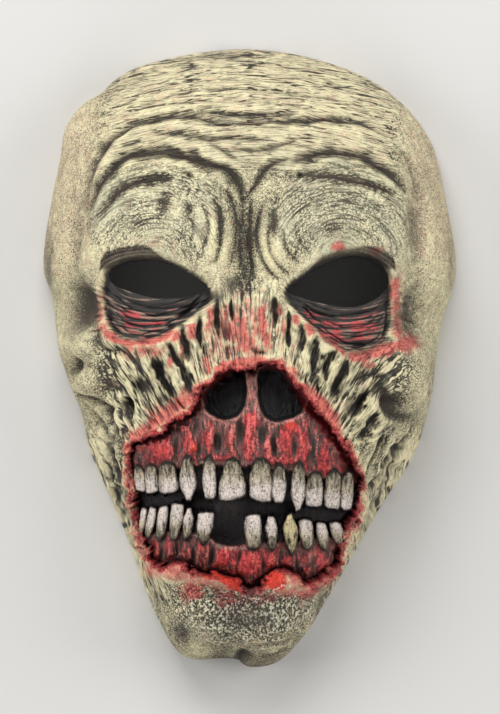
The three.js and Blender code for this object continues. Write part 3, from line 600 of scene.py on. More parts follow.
TEETH = [
    # middle, height of the root and of the tip, width at the tip and at the root, how pointed it is
    [-50.7, -50, -62.5, 5.4, 4.6, 0.1], [-45.4, -49.5, -63.3, 6.6, 5.6, 0.1],
    [-37.6, -48.5, -63, 9.8, 7.6, 0.1], [-28.4, -45.5, -66.3, 9, 5.4, 1],
    [-18.5, -46, -65.6, 7.2, 5.6, 0.4], [-8, -46.5, -66, 13, 7.6, 0], [4.9, -47, -66.6, 11.6, 9, 0.1],
    [13.2, -50, -67.5, 7.2, 6, 0.5], [22, -49, -71.2, 7.6, 5.8, 1], [29.6, -53, -69.5, 9, 7, 0.2],
    [38, -52.5, -70.5, 8.2, 7, 0.1], [44.7, -53, -71, 6.4, 5.6, 0.1], [-49, -85, -70.5, 3.6, 3.2, 0.3],
    [-45.2, -85.5, -70, 4.7, 3.2, 0.3], [-39.8, -85.5, -69.3, 5.6, 3.6, 0.4],
    [-33.4, -85.5, -68, 7, 4.2, 0.2], [-28, -85, -70.3, 5.4, 4, 0.8], [-20.5, -86.5, -72, 8.2, 5.2, 0.1],
    [1.5, -90, -73, 8.6, 6.8, 0.2], [9.7, -89.5, -73.8, 6.2, 4, 0.6], [18.3, -92, -73, 7.6, 3.6, 1],
    [25.5, -90, -75.5, 7.4, 4.8, 0.2], [32.8, -90, -77, 6, 4, 0.3], [39.4, -88, -77, 6.6, 4.4, 0.2],
]

TEAR_REACH = 14
TEAR_RAGS = ((2.4, 5.2, 4), (2.2, 2.6, 5), (1.4, 1.2, 6))
MOUTH_REACH = 5
CRUST = ((2.2, 3.4, 9), (1.6, 1.5, 10), (1, 0.8, 11))
CRUST_HEIGHT = 1.2
EDGE_HEIGHT = 0.9
EDGE_WIDTH = 1.6


def crumbs(*sizes):
    """Rough heights from wandering noise: how high each is, how far apart and its seed."""
    return sum(height * wander(X / apart, Y / apart, seed) for height, apart, seed in sizes)


tear = inset_of(TEAR, TEAR_REACH) + crumbs(*TEAR_RAGS)
nostril = np.maximum(*(inset_of(places, MOUTH_REACH) for places in NOSTRILS)) + crumbs((0.5, 2, 12))
gap = inset_of(MOUTH, MOUTH_REACH) + crumbs((0.6, 2, 7))
roots = inset_of(ROOTS, MOUTH_REACH) + crumbs((1.6, 2.4, 13))

tooth, crown_share, tooth_tint, root_ridge = (np.zeros(len(X)) for _ in range(4))
for middle, root, tip, tip_width, root_width, point in TEETH:
    along = (Y - root) / (tip - root)
    is_lower = tip > root
    lean = middle + TOOTH_LEAN * middle * (1 - along) * (1 if is_lower else UPPER_LEAN_SHARE)
    half = 0.5 * (root_width + (tip_width - root_width) * smooth(0, 0.7, along))
    half = half * (1 - POINT_TAPER * point * smooth(0.62, 1.04, along))
    half = half + RAGGED_SIDE * wander(X / 3 + middle, Y / 4, 3)
    offset = X - lean
    across = np.abs(offset) / np.maximum(half, 0.2)
    slant = TIP_SLANT * offset * math.sin(middle * 1.7) * (1 - point)
    round_tip = 1.04 + slant - 0.07 * (1 - point) * across ** 3 - 0.04 * wander(X / 1.5 + middle, Y / 4, 8)
    round_root = 0.16 * across ** 2 + 0.08 * wander(X / 1.5, Y / 4 + middle, 9)
    from_root = smooth(round_root - 0.12, round_root + 0.14, along)
    end = from_root * smooth(round_tip, round_tip - TIP_SOFTNESS, along)
    body = np.clip(1 - across ** 4, 0, 1) ** 0.5 * end
    rise = TOOTH_RISE * body * (1 + 0.25 * wander(X / 1.5, Y / 4.5, middle + 3) - 0.12 * across ** 2)
    mine = rise > tooth
    tooth = np.where(mine, rise, tooth)
    crown_share = np.where(mine, along, crown_share)
    tooth_tint = np.where(mine, 1 if middle == YELLOW_TOOTH else seeded.uniform(0, 0.8), tooth_tint)
    swell = bell(across, 0.95) * smooth(-1.05, -0.2, along) * smooth(0.35, -0.05, along)
    root_ridge = np.maximum(root_ridge, swell)

arch = JAW_RISE * spot(JAW_MIDDLE, JAW_SIZE) - GUM_DEPTH
gum = arch + ROOT_SWELL * root_ridge + 0.9 * wander(X / 1.6, Y / 6, 21) + crumbs((0.7, 3, 22))
gum_red, gum_pit = np.zeros(len(X)), np.zeros(len(X))
for middle, sizes, redness in GUM_SWELLINGS:
    bulge = spot(middle, sizes, wander_x, wander_y)
    gum += GUM_SWELL * bulge
    gum_red = np.maximum(gum_red, redness * bulge)
for middle, sizes, depth in GUM_PITS:
    dent = spot(middle, sizes, wander_x, wander_y)
    gum -= depth * dent
    gum_pit = np.maximum(gum_pit, depth / DARKEST_PIT * dent)
in_gap = smooth(-1, 1.8, gap)
gum -= EDGE_SINK * bell(np.maximum(tear, 0), 2.4)
gum += NOSTRIL_LIP * bell(nostril + 1, 1) - NOSE_DEPTH * smooth(-0.8, 2, nostril)
gum -= ROOT_SINK * smooth(-0.6, 1.6, roots) * (1 - in_gap)
jaws = np.maximum(gum - MOUTH_DEPTH * in_gap, np.where(tooth > 0, arch + tooth, -99))
crust = crumbs(*CRUST)
edge_width = EDGE_WIDTH * (1.3 + wander(X / 9, Y / 9, 14))
flesh = skin_rise + (EDGE_HEIGHT + CRUST_HEIGHT * crust) * bell(tear + edge_width, edge_width)
in_mouth = smooth(-0.35, 0.35, tear)
rise = flesh + (jaws - flesh) * in_mouth
way = skin_way + (np.array([0, 0, 1]) - skin_way) * in_mouth[:, None]

# The surface of the latex
# Lumps left by the fingers, and the grain of old skin: lines that run across the forehead, round the brows
# and bags, down the strands to the mouth, and along the jaw.
LINE_HEIGHT = 0.26
LUMP_HEIGHTS = ((0.9, 9, 31), (0.45, 4, 32))
FOREHEAD_BOW = 0.0022
BROW_MIDDLE = (43, 44)
BAG_MIDDLE = (44, 40)
BAG_NARROWING = 0.55
STRAND_CENTRE = -92
JAW_CENTRE = -235
RIM_FADE = 14


def about(x, y, radius):
    """Distance from a point, and the way round it, as lengths at that radius."""
    return np.hypot(X - x, Y - y), np.arctan2(X - x, Y - y) * radius


# Lines run along the second of each pair, and are set apart along the first
side = np.sign(X + 1e-9)
beside = np.abs(X)
forehead = (Y + FOREHEAD_BOW * X * X, X)
brow = about(side * BROW_MIDDLE[0], BROW_MIDDLE[1], 26)
bag = (np.hypot((X - side * BAG_MIDDLE[0]) * BAG_NARROWING, Y - BAG_MIDDLE[1]), X)
strand = about(0, STRAND_CENTRE, 70)[::-1]
jaw = about(0, JAW_CENTRE, 170)[::-1]
brow_share = smooth(30, 20, np.hypot((X - side * 42) * 0.8, Y - 64)) * smooth(40, 48, Y)
forehead_share = smooth(76, 92, Y) * smooth(78, 60, beside) * (1 - brow_share)
bag_share = smooth(-4, -1, socket) * smooth(44, 38, Y)
strand_share = smooth(44, 26, Y) * smooth(-54, -30, Y) * smooth(74, 62, beside) * (1 - bag_share)
jaw_share = smooth(-26, -44, Y) * smooth(34, 46, beside - 0.42 * (Y + 100) * (Y < 100))
jaw_share = jaw_share * smooth(-126, -108, Y) * (1 - strand_share)
lumps = sum(height * wander(skin_x / apart, skin_y / apart, seed) for height, apart, seed in LUMP_HEIGHTS)
for (aside, along), amount, wide, long, seed in (
        (forehead, forehead_share, 2.4, 12, 41), (brow, brow_share, 2.2, 7, 42),
        (bag, bag_share, 1.8, 11, 43), (strand, strand_share, 1.9, 9, 44), (jaw, jaw_share, 2.4, 20, 45)):
    valley = 1 - 4 * np.abs(wander(aside / wide, along / long, seed))
    lumps -= LINE_HEIGHT * amount * valley
rise = smooth(0, RIM_FADE, Z) * (rise + lumps * smooth(0.5, -1, tear))

# No point may stand out past the outline of the head
outer_place = place + way * rise[:, None]
limit = outline_radius(outer_place[:, 0], outer_place[:, 1])
reach = np.hypot(outer_place[:, 0], outer_place[:, 1]) + 1e-6
outer_place[:, :2] *= np.minimum(1, limit / reach)[:, None]
outer.data.vertices.foreach_set("co", (outer_place * MM).ravel())

# The wall and the rim
# The inner face follows the deepest carving round about, one wall thickness behind it, and a flat rim joins
# the two all round. The eye holes are punched straight through.
WALL = 3
DEEPEST_SPAN = 10
PUNCH_START = 10
FACES = 192000


def around(values, work):
    """Works out the least or the mean of each point's neighbours, first across and then along."""
    grid = values.reshape(rows, columns)
    for axis in (0, 1):
        margins = [(DEEPEST_SPAN, DEEPEST_SPAN) if k == axis else (0, 0) for k in (0, 1)]
        padded = np.pad(grid, margins, "edge")
        spans = np.lib.stride_tricks.sliding_window_view(padded, 2 * DEEPEST_SPAN + 1, axis=axis)
        grid = work(spans, axis=-1)
    return grid.ravel()


carved = np.minimum(rise * np.sum(way * skin_way, axis=1), 0)
deepest = around(around(carved, np.min), np.mean)
half_across, half_along = CELLS_ACROSS // 2, CELLS_ALONG // 2
inner, inner_place, inner_way, inner_facing, _ = draw_sheet("zombie_mask_back", half_across, half_along)
sink = deepest.reshape(rows, columns)[::2, ::2].ravel() - WALL / inner_facing
inner_place = inner_place + inner_way * sink[:, None]
inner.data.vertices.foreach_set("co", (inner_place * MM).ravel())
inner.data.flip_normals()

bpy.ops.object.select_all(action="DESELECT")
inner.select_set(True)
outer.select_set(True)
bpy.context.view_layer.objects.active = outer
bpy.ops.object.join()
mask = outer
bpy.ops.object.mode_set(mode="EDIT")
bpy.ops.mesh.select_mode(type="EDGE")
bpy.ops.mesh.select_all(action="DESELECT")
bpy.ops.mesh.select_non_manifold()
bpy.ops.mesh.bridge_edge_loops()
bpy.ops.mesh.select_all(action="SELECT")
bpy.ops.mesh.normals_make_consistent(inside=False)
bpy.ops.object.mode_set(mode="OBJECT")

for places in EYES:
    line = curve_through(places, closed=True)[:-1]
    bpy.ops.object.select_all(action="DESELECT")
    bpy.ops.mesh.primitive_circle_add(vertices=len(line), fill_type="NGON")
    punch = bpy.context.object
    for vertex, (x, y) in zip(punch.data.vertices, line[::-1]):
        vertex.co = (x * MM, y * MM, -PUNCH_START * MM)
    bpy.ops.object.mode_set(mode="EDIT")
    bpy.ops.mesh.select_all(action="SELECT")
    bpy.ops.mesh.extrude_region_move(TRANSFORM_OT_translate={"value": (0, 0, 2 * DEPTH * MM)})
    bpy.ops.mesh.select_all(action="SELECT")
    bpy.ops.mesh.normals_make_consistent(inside=False)
    bpy.ops.object.mode_set(mode="OBJECT")
    hole = mask.modifiers.new("eye_hole", "BOOLEAN")
    hole.object = punch
    hole.operation = "DIFFERENCE"
    hole.solver = "MANIFOLD"
    bpy.ops.object.select_all(action="DESELECT")
    bpy.context.view_layer.objects.active = mask
    bpy.ops.object.modifier_apply(modifier=hole.name)
    bpy.data.objects.remove(punch)

thin = mask.modifiers.new("fewer_faces", "DECIMATE")
thin.ratio = FACES / sum(len(face.vertices) - 2 for face in mask.data.polygons)
bpy.ops.object.modifier_apply(modifier=thin.name)

# Where the paint goes
# The casting was painted by hand: a dark wash that stays in the hollows, dry cream brushed over the grain,
# blood red round the eyes, on the torn edge and on the gums, and stained teeth. Painted shade is added in
# the broad hollows, above the eye holes, under the chin and along the sides. Each is a field over it.
REDS = [
    # width, strength, places
    [2.6, 0.55, [-70.5, 28], [-71, 20], [-68, 12]],
    [1.8, 1, [-68, 12], [-62, 8], [-55, 6.8], [-46, 7], [-39.6, 8.8], [-36, 11.6]],
    [3.4, 0.5, [-58, 4.5], [-48, 4], [-39, 2]],
    [3.2, 1, [-35.5, 12], [-33.5, 8]],
    [1.5, 0.6, [-32, 5], [-30, -1]],
    [2.4, 0.95, [-27, 15.5], [-26.5, 8]],
    [1.8, 0.9, [-18.2, 22.5], [-18.6, 13]],
    [1.6, 0.75, [-11, 24.5], [-11, 16]],
    [1.7, 1, [-3, 17.5], [-2.8, 3]],
    [1.5, 0.5, [-2.5, 28], [-2.8, 17]],
    [2, 1, [5.4, 24], [6, 12], [8.5, 5]],
    [3, 0.4, [2, 14], [3, 4]],
    [1.5, 0.8, [13, 24.5], [13.5, 19]],
    [1.4, 0.5, [14.7, 18], [15.5, 12]],
    [2, 0.9, [20.5, 19], [21, 14.5]],
    [2.6, 0.9, [26, 15.5], [28, 10.5]],
    [3.2, 0.66, [66.6, 38], [68.2, 29], [68, 21], [69.4, 13], [67, 8]],
    [3, 0.95, [77, 8.7], [69.8, 6.5], [64.2, 4.6], [58.2, 2.2], [51.2, -0.4], [45.5, 0.7]],
    [1.8, 0.8, [44, 1.5], [40, 5], [36.5, 8], [32, 12]],
    [3, 0.5, [58, -3], [50, -3.5]],
    [1.4, 0.95, [-57, 20.5], [-50, 18.5]],
    [1.3, 1, [-59, 15.2], [-50, 14], [-42, 15.2], [-38.5, 15.3]],
    [1.2, 0.6, [-62, 22], [-55, 17]],
    [2.2, 0.85, [24, 23], [33, 17], [42, 11.5]],
    [2.4, 1, [46.6, 13.5], [53, 14.5], [60, 14]],
    [1.6, 0.8, [38, 9.5], [46, 7.5], [54, 8.5]],
    [1.4, 0.7, [50, 20], [60, 22]],
    [1.6, 0.6, [26, 19.5], [31, 15.5]],
    [2.6, 0.95, [-17, -9.5], [-12, -4.5], [-3, -1.5], [7, -2.5], [12, -3]],
    [2.6, 0.6, [-20.5, 0], [-19.5, -8]],
    [2.8, 0.7, [15, -6], [20, -9.5], [24, -14]],
    [4.4, 0.8, [-58, -38.5], [-50, -35.5], [-40, -27], [-30, -20], [-25, -15]],
    [3.4, 0.95, [25.5, -15.5], [33, -21.5], [38, -28], [40.5, -34]],
    [3, 0.6, [40.5, -37], [45, -46]],
    [4, 0.6, [-49, -94], [-42, -99], [-30, -100], [-22, -104], [-10, -109], [0, -112], [14, -109],
     [26, -109], [36, -104], [44, -94]],
    [2.2, 0.95, [50.5, -62], [52.8, -70], [48.5, -78]],
    [2.8, 0.8, [-59, -40], [-59.5, -51], [-58, -63]],
    [2, 0.6, [-56, -68], [-54, -82], [-51, -92]],
]
RED_PATCHES = [
    # middle, half sizes, strength
    [[-46.5, -99.5], [4, 4], 0.8], [[-36, -98.5], [7, 3], 0.75], [[-27, -108.5], [5, 4.6], 1.1],
    [[-10.5, -111.5], [5, 4.6], 1], [[20, -102.5], [4, 5], 0.75], [[25.5, -110.5], [5, 3.4], 0.7],
    [[41.5, -99.5], [3, 6], 0.45], [[40.5, 50.8], [3, 2.4], 1], [[57.5, 49], [3.4, 2.2], 0.8],
    [[-45, 52.5], [9, 2.5], 0.3], [[-37, -2.5], [1.8, 3], 0.9], [[-31, -16], [2, 3.4], 0.5],
    [[-4, 11], [18, 14], 0.6], [[-50, 2], [12, 4], 0.35], [[-51, 16], [14, 7], 0.3],
    [[48, 14], [15, 7], 0.4],
]
ORANGE_BANDS = [[3.4, 1.2, [-21.5, -99.5], [-15, -99], [-9, -103.5], [-4, -107]]]
ORANGE_PATCHES = [
    [[11.5, -103.3], [5.6, 5], 1.15], [[-41, -43], [5, 3.2], 0.5], [[19, -31.5], [4, 2.6], 0.8],
    [[-26.5, -41.7], [2.2, 2.2], 0.9],
]
STAINS_AND_SHADE = [
    # middle, half sizes, strength: places painted darker, where the dark wash was laid on heavily and
    # where painted shade lies in the hollows, under the chin and along the sides
    [[-40, 68.6], [2.6, 5.5], 0.7], [[-29.5, 67.5], [2, 4.6], 0.5], [[-52.5, 61.4], [7, 3], 0.4],
    [[-22, 58], [2, 5.5], 0.55], [[-14.2, 60], [1.6, 6.4], 0.6], [[10.9, 61.5], [1.8, 6.4], 0.7],
    [[39.6, 58.5], [8.5, 5], 0.5], [[-78, 22], [7, 14], 0.95], [[-71.5, 22], [3.6, 12], 0.45],
    [[75.5, 21], [5, 13], 0.55], [[-8.4, 33.3], [5, 5], 0.8], [[-2.3, 37], [3, 5], 0.5],
    [[10.5, 24.5], [3, 3], 0.85], [[18, 27], [3.4, 3], 0.9], [[-16, 28], [5.5, 3.5], 0.9],
    [[-79, -4], [2.4, 4], 0.5], [[-66.6, -13.7], [2.8, 4.6], 0.85], [[-49.5, -14], [5, 3.6], 0.75],
    [[-65, -4], [8, 6], 0.2], [[68.2, -0.5], [6, 3.4], 0.4], [[78.7, -15.6], [1.4, 2.6], 0.7],
    [[43.3, -14], [3, 4.2], 0.6], [[66, -24.5], [5.5, 8], 0.8], [[74, -28], [4, 3], 0.5],
    [[-68.5, -27], [2.4, 4.4], 0.7], [[-5.8, 19], [1.6, 6], 0.5], [[-23, 20], [2.4, 4], 0.55],
    [[29.5, -4], [2.6, 8], 0.4], [[37, 10.5], [5, 4], 0.5], [[-30.3, -128.5], [5.4, 6], 0.6],
    [[-1.5, -119.5], [20, 7.5], 0.8], [[-16.5, -109], [4.5, 5], 0.6], [[0.5, -109.5], [5, 4], 0.7],
    [[14, -130.5], [7, 2.4], 0.4], [[3, -134.5], [18, 3.4], 0.35], [[0, -138], [36, 8], 0.75],
    [[40, 62], [22, 12], 0.22], [[-4, 14], [14, 12], 0.25], [[-60.5, 129], [12, 6], 0.35],
    [[-11.6, 141], [12, 3.4], 0.5], [[-29, 138], [5, 4], 0.35], [[-94.5, 45], [3, 18], 0.65],
    [[94, 45], [2.4, 18], 0.45], [[-81, 50], [3.4, 28], 0.25], [[77.5, 60], [3.4, 18], 0.28],
    [[72, 85], [5, 11], 0.25], [[-72, 84], [4, 12], 0.2], [[60, -52], [4, 14], 0.2],
    [[-66, -50], [3, 18], 0.25], [[-45, 105], [14, 3], 0.3], [[-52, 92], [14, 3], 0.25],
    [[37, 78], [16, 3], 0.3], [[50, 45], [16, 3], 0.5], [[-84, -8], [3, 8], 0.3], [[84, -8], [3, 8], 0.3],
]


def field_of(bands, patches):
    """The strongest of some bands along lines and some patches, at each point of the face."""
    amount = np.zeros(len(X))
    for width, strength, *places in bands:
        line = curve_through(places)
        near = within(line, width * 3 + 1)
        distance, share, _ = nearest(wander_x[near], wander_y[near], line)
        fade = np.clip(np.minimum(share, 1 - share) / 0.1 + 0.35, 0, 1)
        amount[near] = np.maximum(amount[near], strength * fade * bell(distance, width))
    for middle, sizes, strength in patches:
        amount = np.maximum(amount, strength * spot(middle, sizes))
    return amount


edge_strength = 0.7 + 0.3 * smooth(-60, -40, Y) + 0.2 * smooth(-86, -98, Y)
edge_red = edge_strength * bell(np.minimum(tear + 1.2, 0), 2.3)
red = np.maximum(field_of(REDS, RED_PATCHES), edge_red)
orange = field_of(ORANGE_BANDS, ORANGE_PATCHES)
# Darker round each eye hole and on the lid folds, and painted shade along the top edge of each hole, under
# the brow
lid = 0.95 * bell(eye, 5) * smooth(-1.5, 1, socket)
shade_under_brow = smooth(30, 38, Y) * np.maximum(0.85 * bell(eye + 0.6, 1.7), 0.4 * bell(eye + 1, 4.5))
stain_and_shade = np.maximum.reduce([field_of([], STAINS_AND_SHADE), lid, 0.9 * lid_fold, shade_under_brow])


def blurred(values, span):
    """The mean of each point's neighbours, so many cells to every side."""
    grid = np.pad(values.reshape(rows, columns), span, "edge")
    for axis in (0, 1):
        total = np.cumsum(grid, axis=axis)
        lead = [slice(None), slice(None)]
        lag = [slice(None), slice(None)]
        lead[axis], lag[axis] = slice(2 * span, None), slice(None, -2 * span)
        grid = (total[tuple(lead)] - total[tuple(lag)]) / (2 * span)
    return grid.ravel()


def sunken(level, span, depth):
    """How far a level lies below the mean of the skin so many cells to every side, with 1 at this depth."""
    return np.clip((blurred(rise, span) - level) / depth, -1, 1.5)


# How sunken each point is, at three sizes: the dark wash gathers in the finest hollows, while the wider and
# broad hollows also get painted shade, and their rises painted highlights
hollow = sunken(rise, 4, 0.6)
wide_hollow = sunken(rise, 14, 1.8)
far_hollow = sunken(blurred(rise, 6), 44, 3.2)

# How coarsely each part was brushed, and where the cream turns pink or green
light_share = smooth(62, 80, beside) * smooth(-30, 0, Y)
chin_share = smooth(-96, -106, Y) * smooth(-142, -122, Y) * smooth(50, 30, np.abs(X + 4))
jaw_side = smooth(-20, -50, Y) * (1 - chin_share) * (1 - strand_share)
cheek_share = spot([73, -6], [13, 15], beside)
coarse = 0.42 - 0.1 * forehead_share + 0.24 * brow_share + 0.36 * chin_share - 0.4 * light_share
coarse = coarse - 0.22 * jaw_side + 0.5 * cheek_share + 0.22 * strand_share
coarse = np.maximum(coarse, 0.04)
pink = smooth(60, 84, beside) * smooth(20, 60, Y) + 0.5 * forehead_share
green = brow_share + 0.5 * smooth(108, 96, Y) * smooth(40, 60, Y) + 0.6 * chin_share

edge_band_reach = 1 + 1.1 * smooth(15, 28, X) * smooth(-64, -52, Y)
far_lines = [np.where(Y > 0, above, below) for above, below in zip(forehead, jaw)]
far_share = np.where(Y > 0, forehead_share, jaw_share)

# Each field is three numbers at a point, and its lengths are in centimetres
CM = 10
FIELDS = {
    "paint_hollow": (hollow, wide_hollow, stain_and_shade),
    "paint_blood": (red, orange, coarse),
    "paint_skin": (pink, green, socket / CM),
    "paint_mouth": (tear / CM, gap / CM, nostril / CM),
    "paint_tooth": (tooth / CM, crown_share, tooth_tint),
    "paint_gap": (roots / CM, eye / CM, far_hollow),
    "paint_lines": (ink, shadow, np.zeros(len(X))),
    "paint_gum": (gum_red, gum_pit, edge_band_reach),
}
for name, (aside, along), share in (
        ("lines_strand", strand, strand_share), ("lines_brow", brow, brow_share),
        ("lines_bag", bag, bag_share), ("lines_far", far_lines, far_share)):
    FIELDS[name] = (aside / CM, along / CM, share)

# A point of the finished mesh takes its fields from the nearest points of the outer face as it was drawn.
# One that lies well away from them all is on the bare back.
NEIGHBOURS = 3
NO_DISTANCE = 0.02
BARE_SPAN = (0.9, 1.9)
tree = KDTree(len(outer_place))
for index, point in enumerate(outer_place):
    tree.insert(point, index)
tree.balance()
final = np.zeros(len(mask.data.vertices) * 3)
mask.data.vertices.foreach_get("co", final)
final = final.reshape(-1, 3) / MM
found = [tree.find_n(point, NEIGHBOURS) for point in final]
nearby = np.array([[hit[1] for hit in hits] for hits in found])
distances = np.array([[hit[2] for hit in hits] for hits in found])
weights = 1 / (distances + NO_DISTANCE)
weights /= weights.sum(axis=1, keepdims=True)
for name, fields in FIELDS.items():
    values = np.stack([(values[nearby] * weights).sum(axis=1) for values in fields], axis=1)
    layer = mask.data.attributes.new(name, "FLOAT_VECTOR", "POINT")
    layer.data.foreach_set("vector", values.ravel())
back = mask.data.attributes.new("bare_back", "FLOAT", "POINT")
back.data.foreach_set("value", smooth(*BARE_SPAN, distances.min(axis=1)))

# The paint
# Cream is dry-brushed over the dark wash, so it only takes on the crests of the grain, and painted shade
# and painted highlights are laid over the forms. Everything is worked out from places on the mask and from
# the fields above, and the same grain lifts the surface.


class Paint:
    """An output of one of the paint's nodes. Arithmetic on it adds Math nodes."""

    def __init__(self, socket):
        self.socket = socket

    @staticmethod
    def node(kind, settings=(), **inputs):
        """A new node: its settings, then a value or a link for each input, by its name or its number."""
        made = paint_tree.nodes.new(kind)
        for key, value in dict(settings).items():
            setattr(made, key, value)
        for key, value in inputs.items():
            socket = made.inputs[int(key[1:]) if key[0] == "_" else key.replace("_", " ")]
            if isinstance(value, Paint):
                paint_tree.links.new(value.socket, socket)
            else:
                socket.default_value = value
        return made

    @staticmethod
    def maths(operation, *values):
        inputs = {f"_{k}": value for k, value in enumerate(values)}
        return Paint(Paint.node("ShaderNodeMath", {"operation": operation}, **inputs).outputs[0])

    def __add__(self, other):
        return Paint.maths("ADD", self, other)

    def __sub__(self, other):
        return Paint.maths("SUBTRACT", self, other)

    def __rsub__(self, other):
        return Paint.maths("SUBTRACT", other, self)

    def __mul__(self, other):
        return Paint.maths("MULTIPLY", self, other)

    __radd__ = __add__
    __rmul__ = __mul__

    def most(self, other):
        return Paint.maths("MAXIMUM", self, other)

    def step(self, start, end):
        """0 up to start, 1 from end, and smooth between."""
        span = {"interpolation_type": "SMOOTHSTEP"}
        made = Paint.node("ShaderNodeMapRange", span, Value=self, From_Min=start, From_Max=end)
        return Paint(made.outputs["Result"])

    def over(self, under, shade):
        """The shade laid over what is under it, by this share."""
        made = Paint.node("ShaderNodeMix", {"data_type": "RGBA"}, _0=self, _6=under, _7=shade)
        return Paint(made.outputs[2])


def srgb(*amounts):
    """A colour from its red, green and blue on screen, 0 to 255."""
    shares = [amount / 255 for amount in amounts]
    return tuple(((s + 0.055) / 1.055) ** 2.4 if s > 0.04 else s / 12.92 for s in shares) + (1,)


def field(name):
    return Paint(Paint.node("ShaderNodeAttribute", {"attribute_name": name}).outputs["Vector"])


def parts_of(vector):
    return [Paint(socket) for socket in Paint.node("ShaderNodeSeparateXYZ", _0=vector).outputs]


def noise(vector, scale, detail=1, roughness=0.5):
    """Soft noise about 0, at most 0.5 either way, with so many steps to a unit."""
    made = Paint.node("ShaderNodeTexNoise", Vector=vector, Scale=scale, Detail=detail, Roughness=roughness)
    return Paint(made.outputs["Fac"]) - 0.5


def stretched(vector, x, y, z):
    made = Paint.node("ShaderNodeMapping", Vector=vector, Scale=(x, y, z))
    return Paint(made.outputs["Vector"])


def away(value, width):
    """0 along the thin lines where noise crosses its middle, and 1 beside them."""
    return Paint.maths("ABSOLUTE", value).step(0, width)


latex = bpy.data.materials.new("painted_latex")
latex.use_nodes = True
paint_tree = latex.node_tree
skin_shader = paint_tree.nodes["Principled BSDF"]

CREAM = srgb(238, 228, 185)
CREAM_GREEN = srgb(212, 210, 178)
CREAM_PINK = srgb(246, 228, 188)
WASH = srgb(44, 42, 37)
WASH_GREEN = srgb(84, 80, 62)
INK = srgb(24, 21, 20)
INK_SOFT = srgb(66, 58, 50)
SHADE = srgb(98, 86, 74)
BLOOD = srgb(226, 84, 84)
BLOOD_DARK = srgb(158, 32, 40)
BLOOD_DEEP = srgb(104, 22, 26)
SCAB = srgb(62, 16, 18)
ORANGE = srgb(226, 62, 44)
CHALK = srgb(232, 230, 212)
LID = srgb(56, 53, 51)
LID_PALE = srgb(160, 138, 120)
LID_RED = srgb(196, 84, 84)
GUM_DARK = srgb(54, 38, 35)
GUM_BRIGHT = srgb(236, 138, 126)
GUM_GREY = srgb(166, 122, 112)
GUM_PIT = srgb(28, 26, 24)
GUM_PALE = srgb(196, 172, 158)
GUM_RED = srgb(218, 70, 72)
GUM_DEEP = srgb(120, 34, 36)
THROAT = srgb(38, 38, 39)
TOOTH_TIP = srgb(238, 224, 214)
TOOTH_BODY = srgb(214, 198, 170)
TOOTH_ROOT = srgb(92, 86, 68)
TOOTH_YELLOW = srgb(222, 204, 142)
TOOTH_DARK = srgb(30, 28, 24)
TOOTH_GREY = srgb(140, 130, 118)
BARE = srgb(44, 40, 35)
CHIN_PATCH_MIDDLE = (-1, -119)
CHIN_PATCH_SIZE = (36, 17)
BUMP_HEIGHT = 0.3 * MM
GLOSS = 0.35

at = Paint(Paint.node("ShaderNodeTexCoord").outputs["Object"])
mm_at = stretched(at, 1 / MM, 1 / MM, 1 / MM)
hollow, wide, stain_and_shade = parts_of(field("paint_hollow"))
blood, orange, coarse = parts_of(field("paint_blood"))
pink, green, socket_depth = parts_of(field("paint_skin"))
torn, gap_depth, nostril_depth = parts_of(field("paint_mouth"))
tooth_rise, along_tooth, tint = parts_of(field("paint_tooth"))
root_gap, eye_depth, far = parts_of(field("paint_gap"))
ink, shadow, _ = parts_of(field("paint_lines"))
gum_red, gum_pit, edge_band_reach = parts_of(field("paint_gum"))

# The grain: pebbles, and thin dark worm lines and scratches that run along the folds where there are any
pebbles = noise(mm_at, 1.45)
clumps = noise(mm_at, 0.78)
fine = noise(mm_at, 2.6)
breaks = noise(mm_at, 0.22, 2, 0.6)
patchy = noise(mm_at, 0.05, 3, 0.6)
rough = coarse.step(0.72, 0.95)
bite = coarse.step(0.58, 0.85)
grain = pebbles + (clumps - pebbles) * (coarse * 1.6 - 0.9).step(0, 0.8)
worm = noise(mm_at, 0.72)
worm = worm + (noise(mm_at, 0.44) - worm) * rough
scratch = noise(stretched(mm_at, 1, 1.6, 1), 0.6, 2, 0.6)
LINE_STEPS = (
    # field, then steps to a centimetre: of grain across and along, worm lines the same, scratches across
    ("lines_strand", 12, 1.5, 7.5, 0.7, 4), ("lines_brow", 13, 7.0, 7, 4.5, 4.5),
    ("lines_bag", 12, 1.3, 8, 0.7, 8), ("lines_far", 22, 1.7, 10, 1.1, 6),
)
SCRATCH_LENGTH = 0.06
for name, grain_step, grain_length, worm_step, worm_length, scratch_step in LINE_STEPS:
    vector = field(name)
    share = parts_of(vector)[2]
    lines = noise(stretched(vector, grain_step, grain_length, 0), 1)
    grain = grain + (lines - grain) * share * 0.75
    worm_lines = noise(stretched(vector, worm_step, worm_length, 3), 1)
    worm = worm + (worm_lines - worm) * share
    long_lines = noise(stretched(vector, scratch_step, scratch_step * SCRATCH_LENGTH, 0), 1)
    scratch = scratch + (long_lines - scratch) * share
grain = grain * 5.5
worm_line = 1 - (Paint.maths("ABSOLUTE", worm) - rough * 0.035).step(0, 0.09)
scratch_line = (1 - away(scratch, 0.04)) * breaks.step(-0.2, 0)

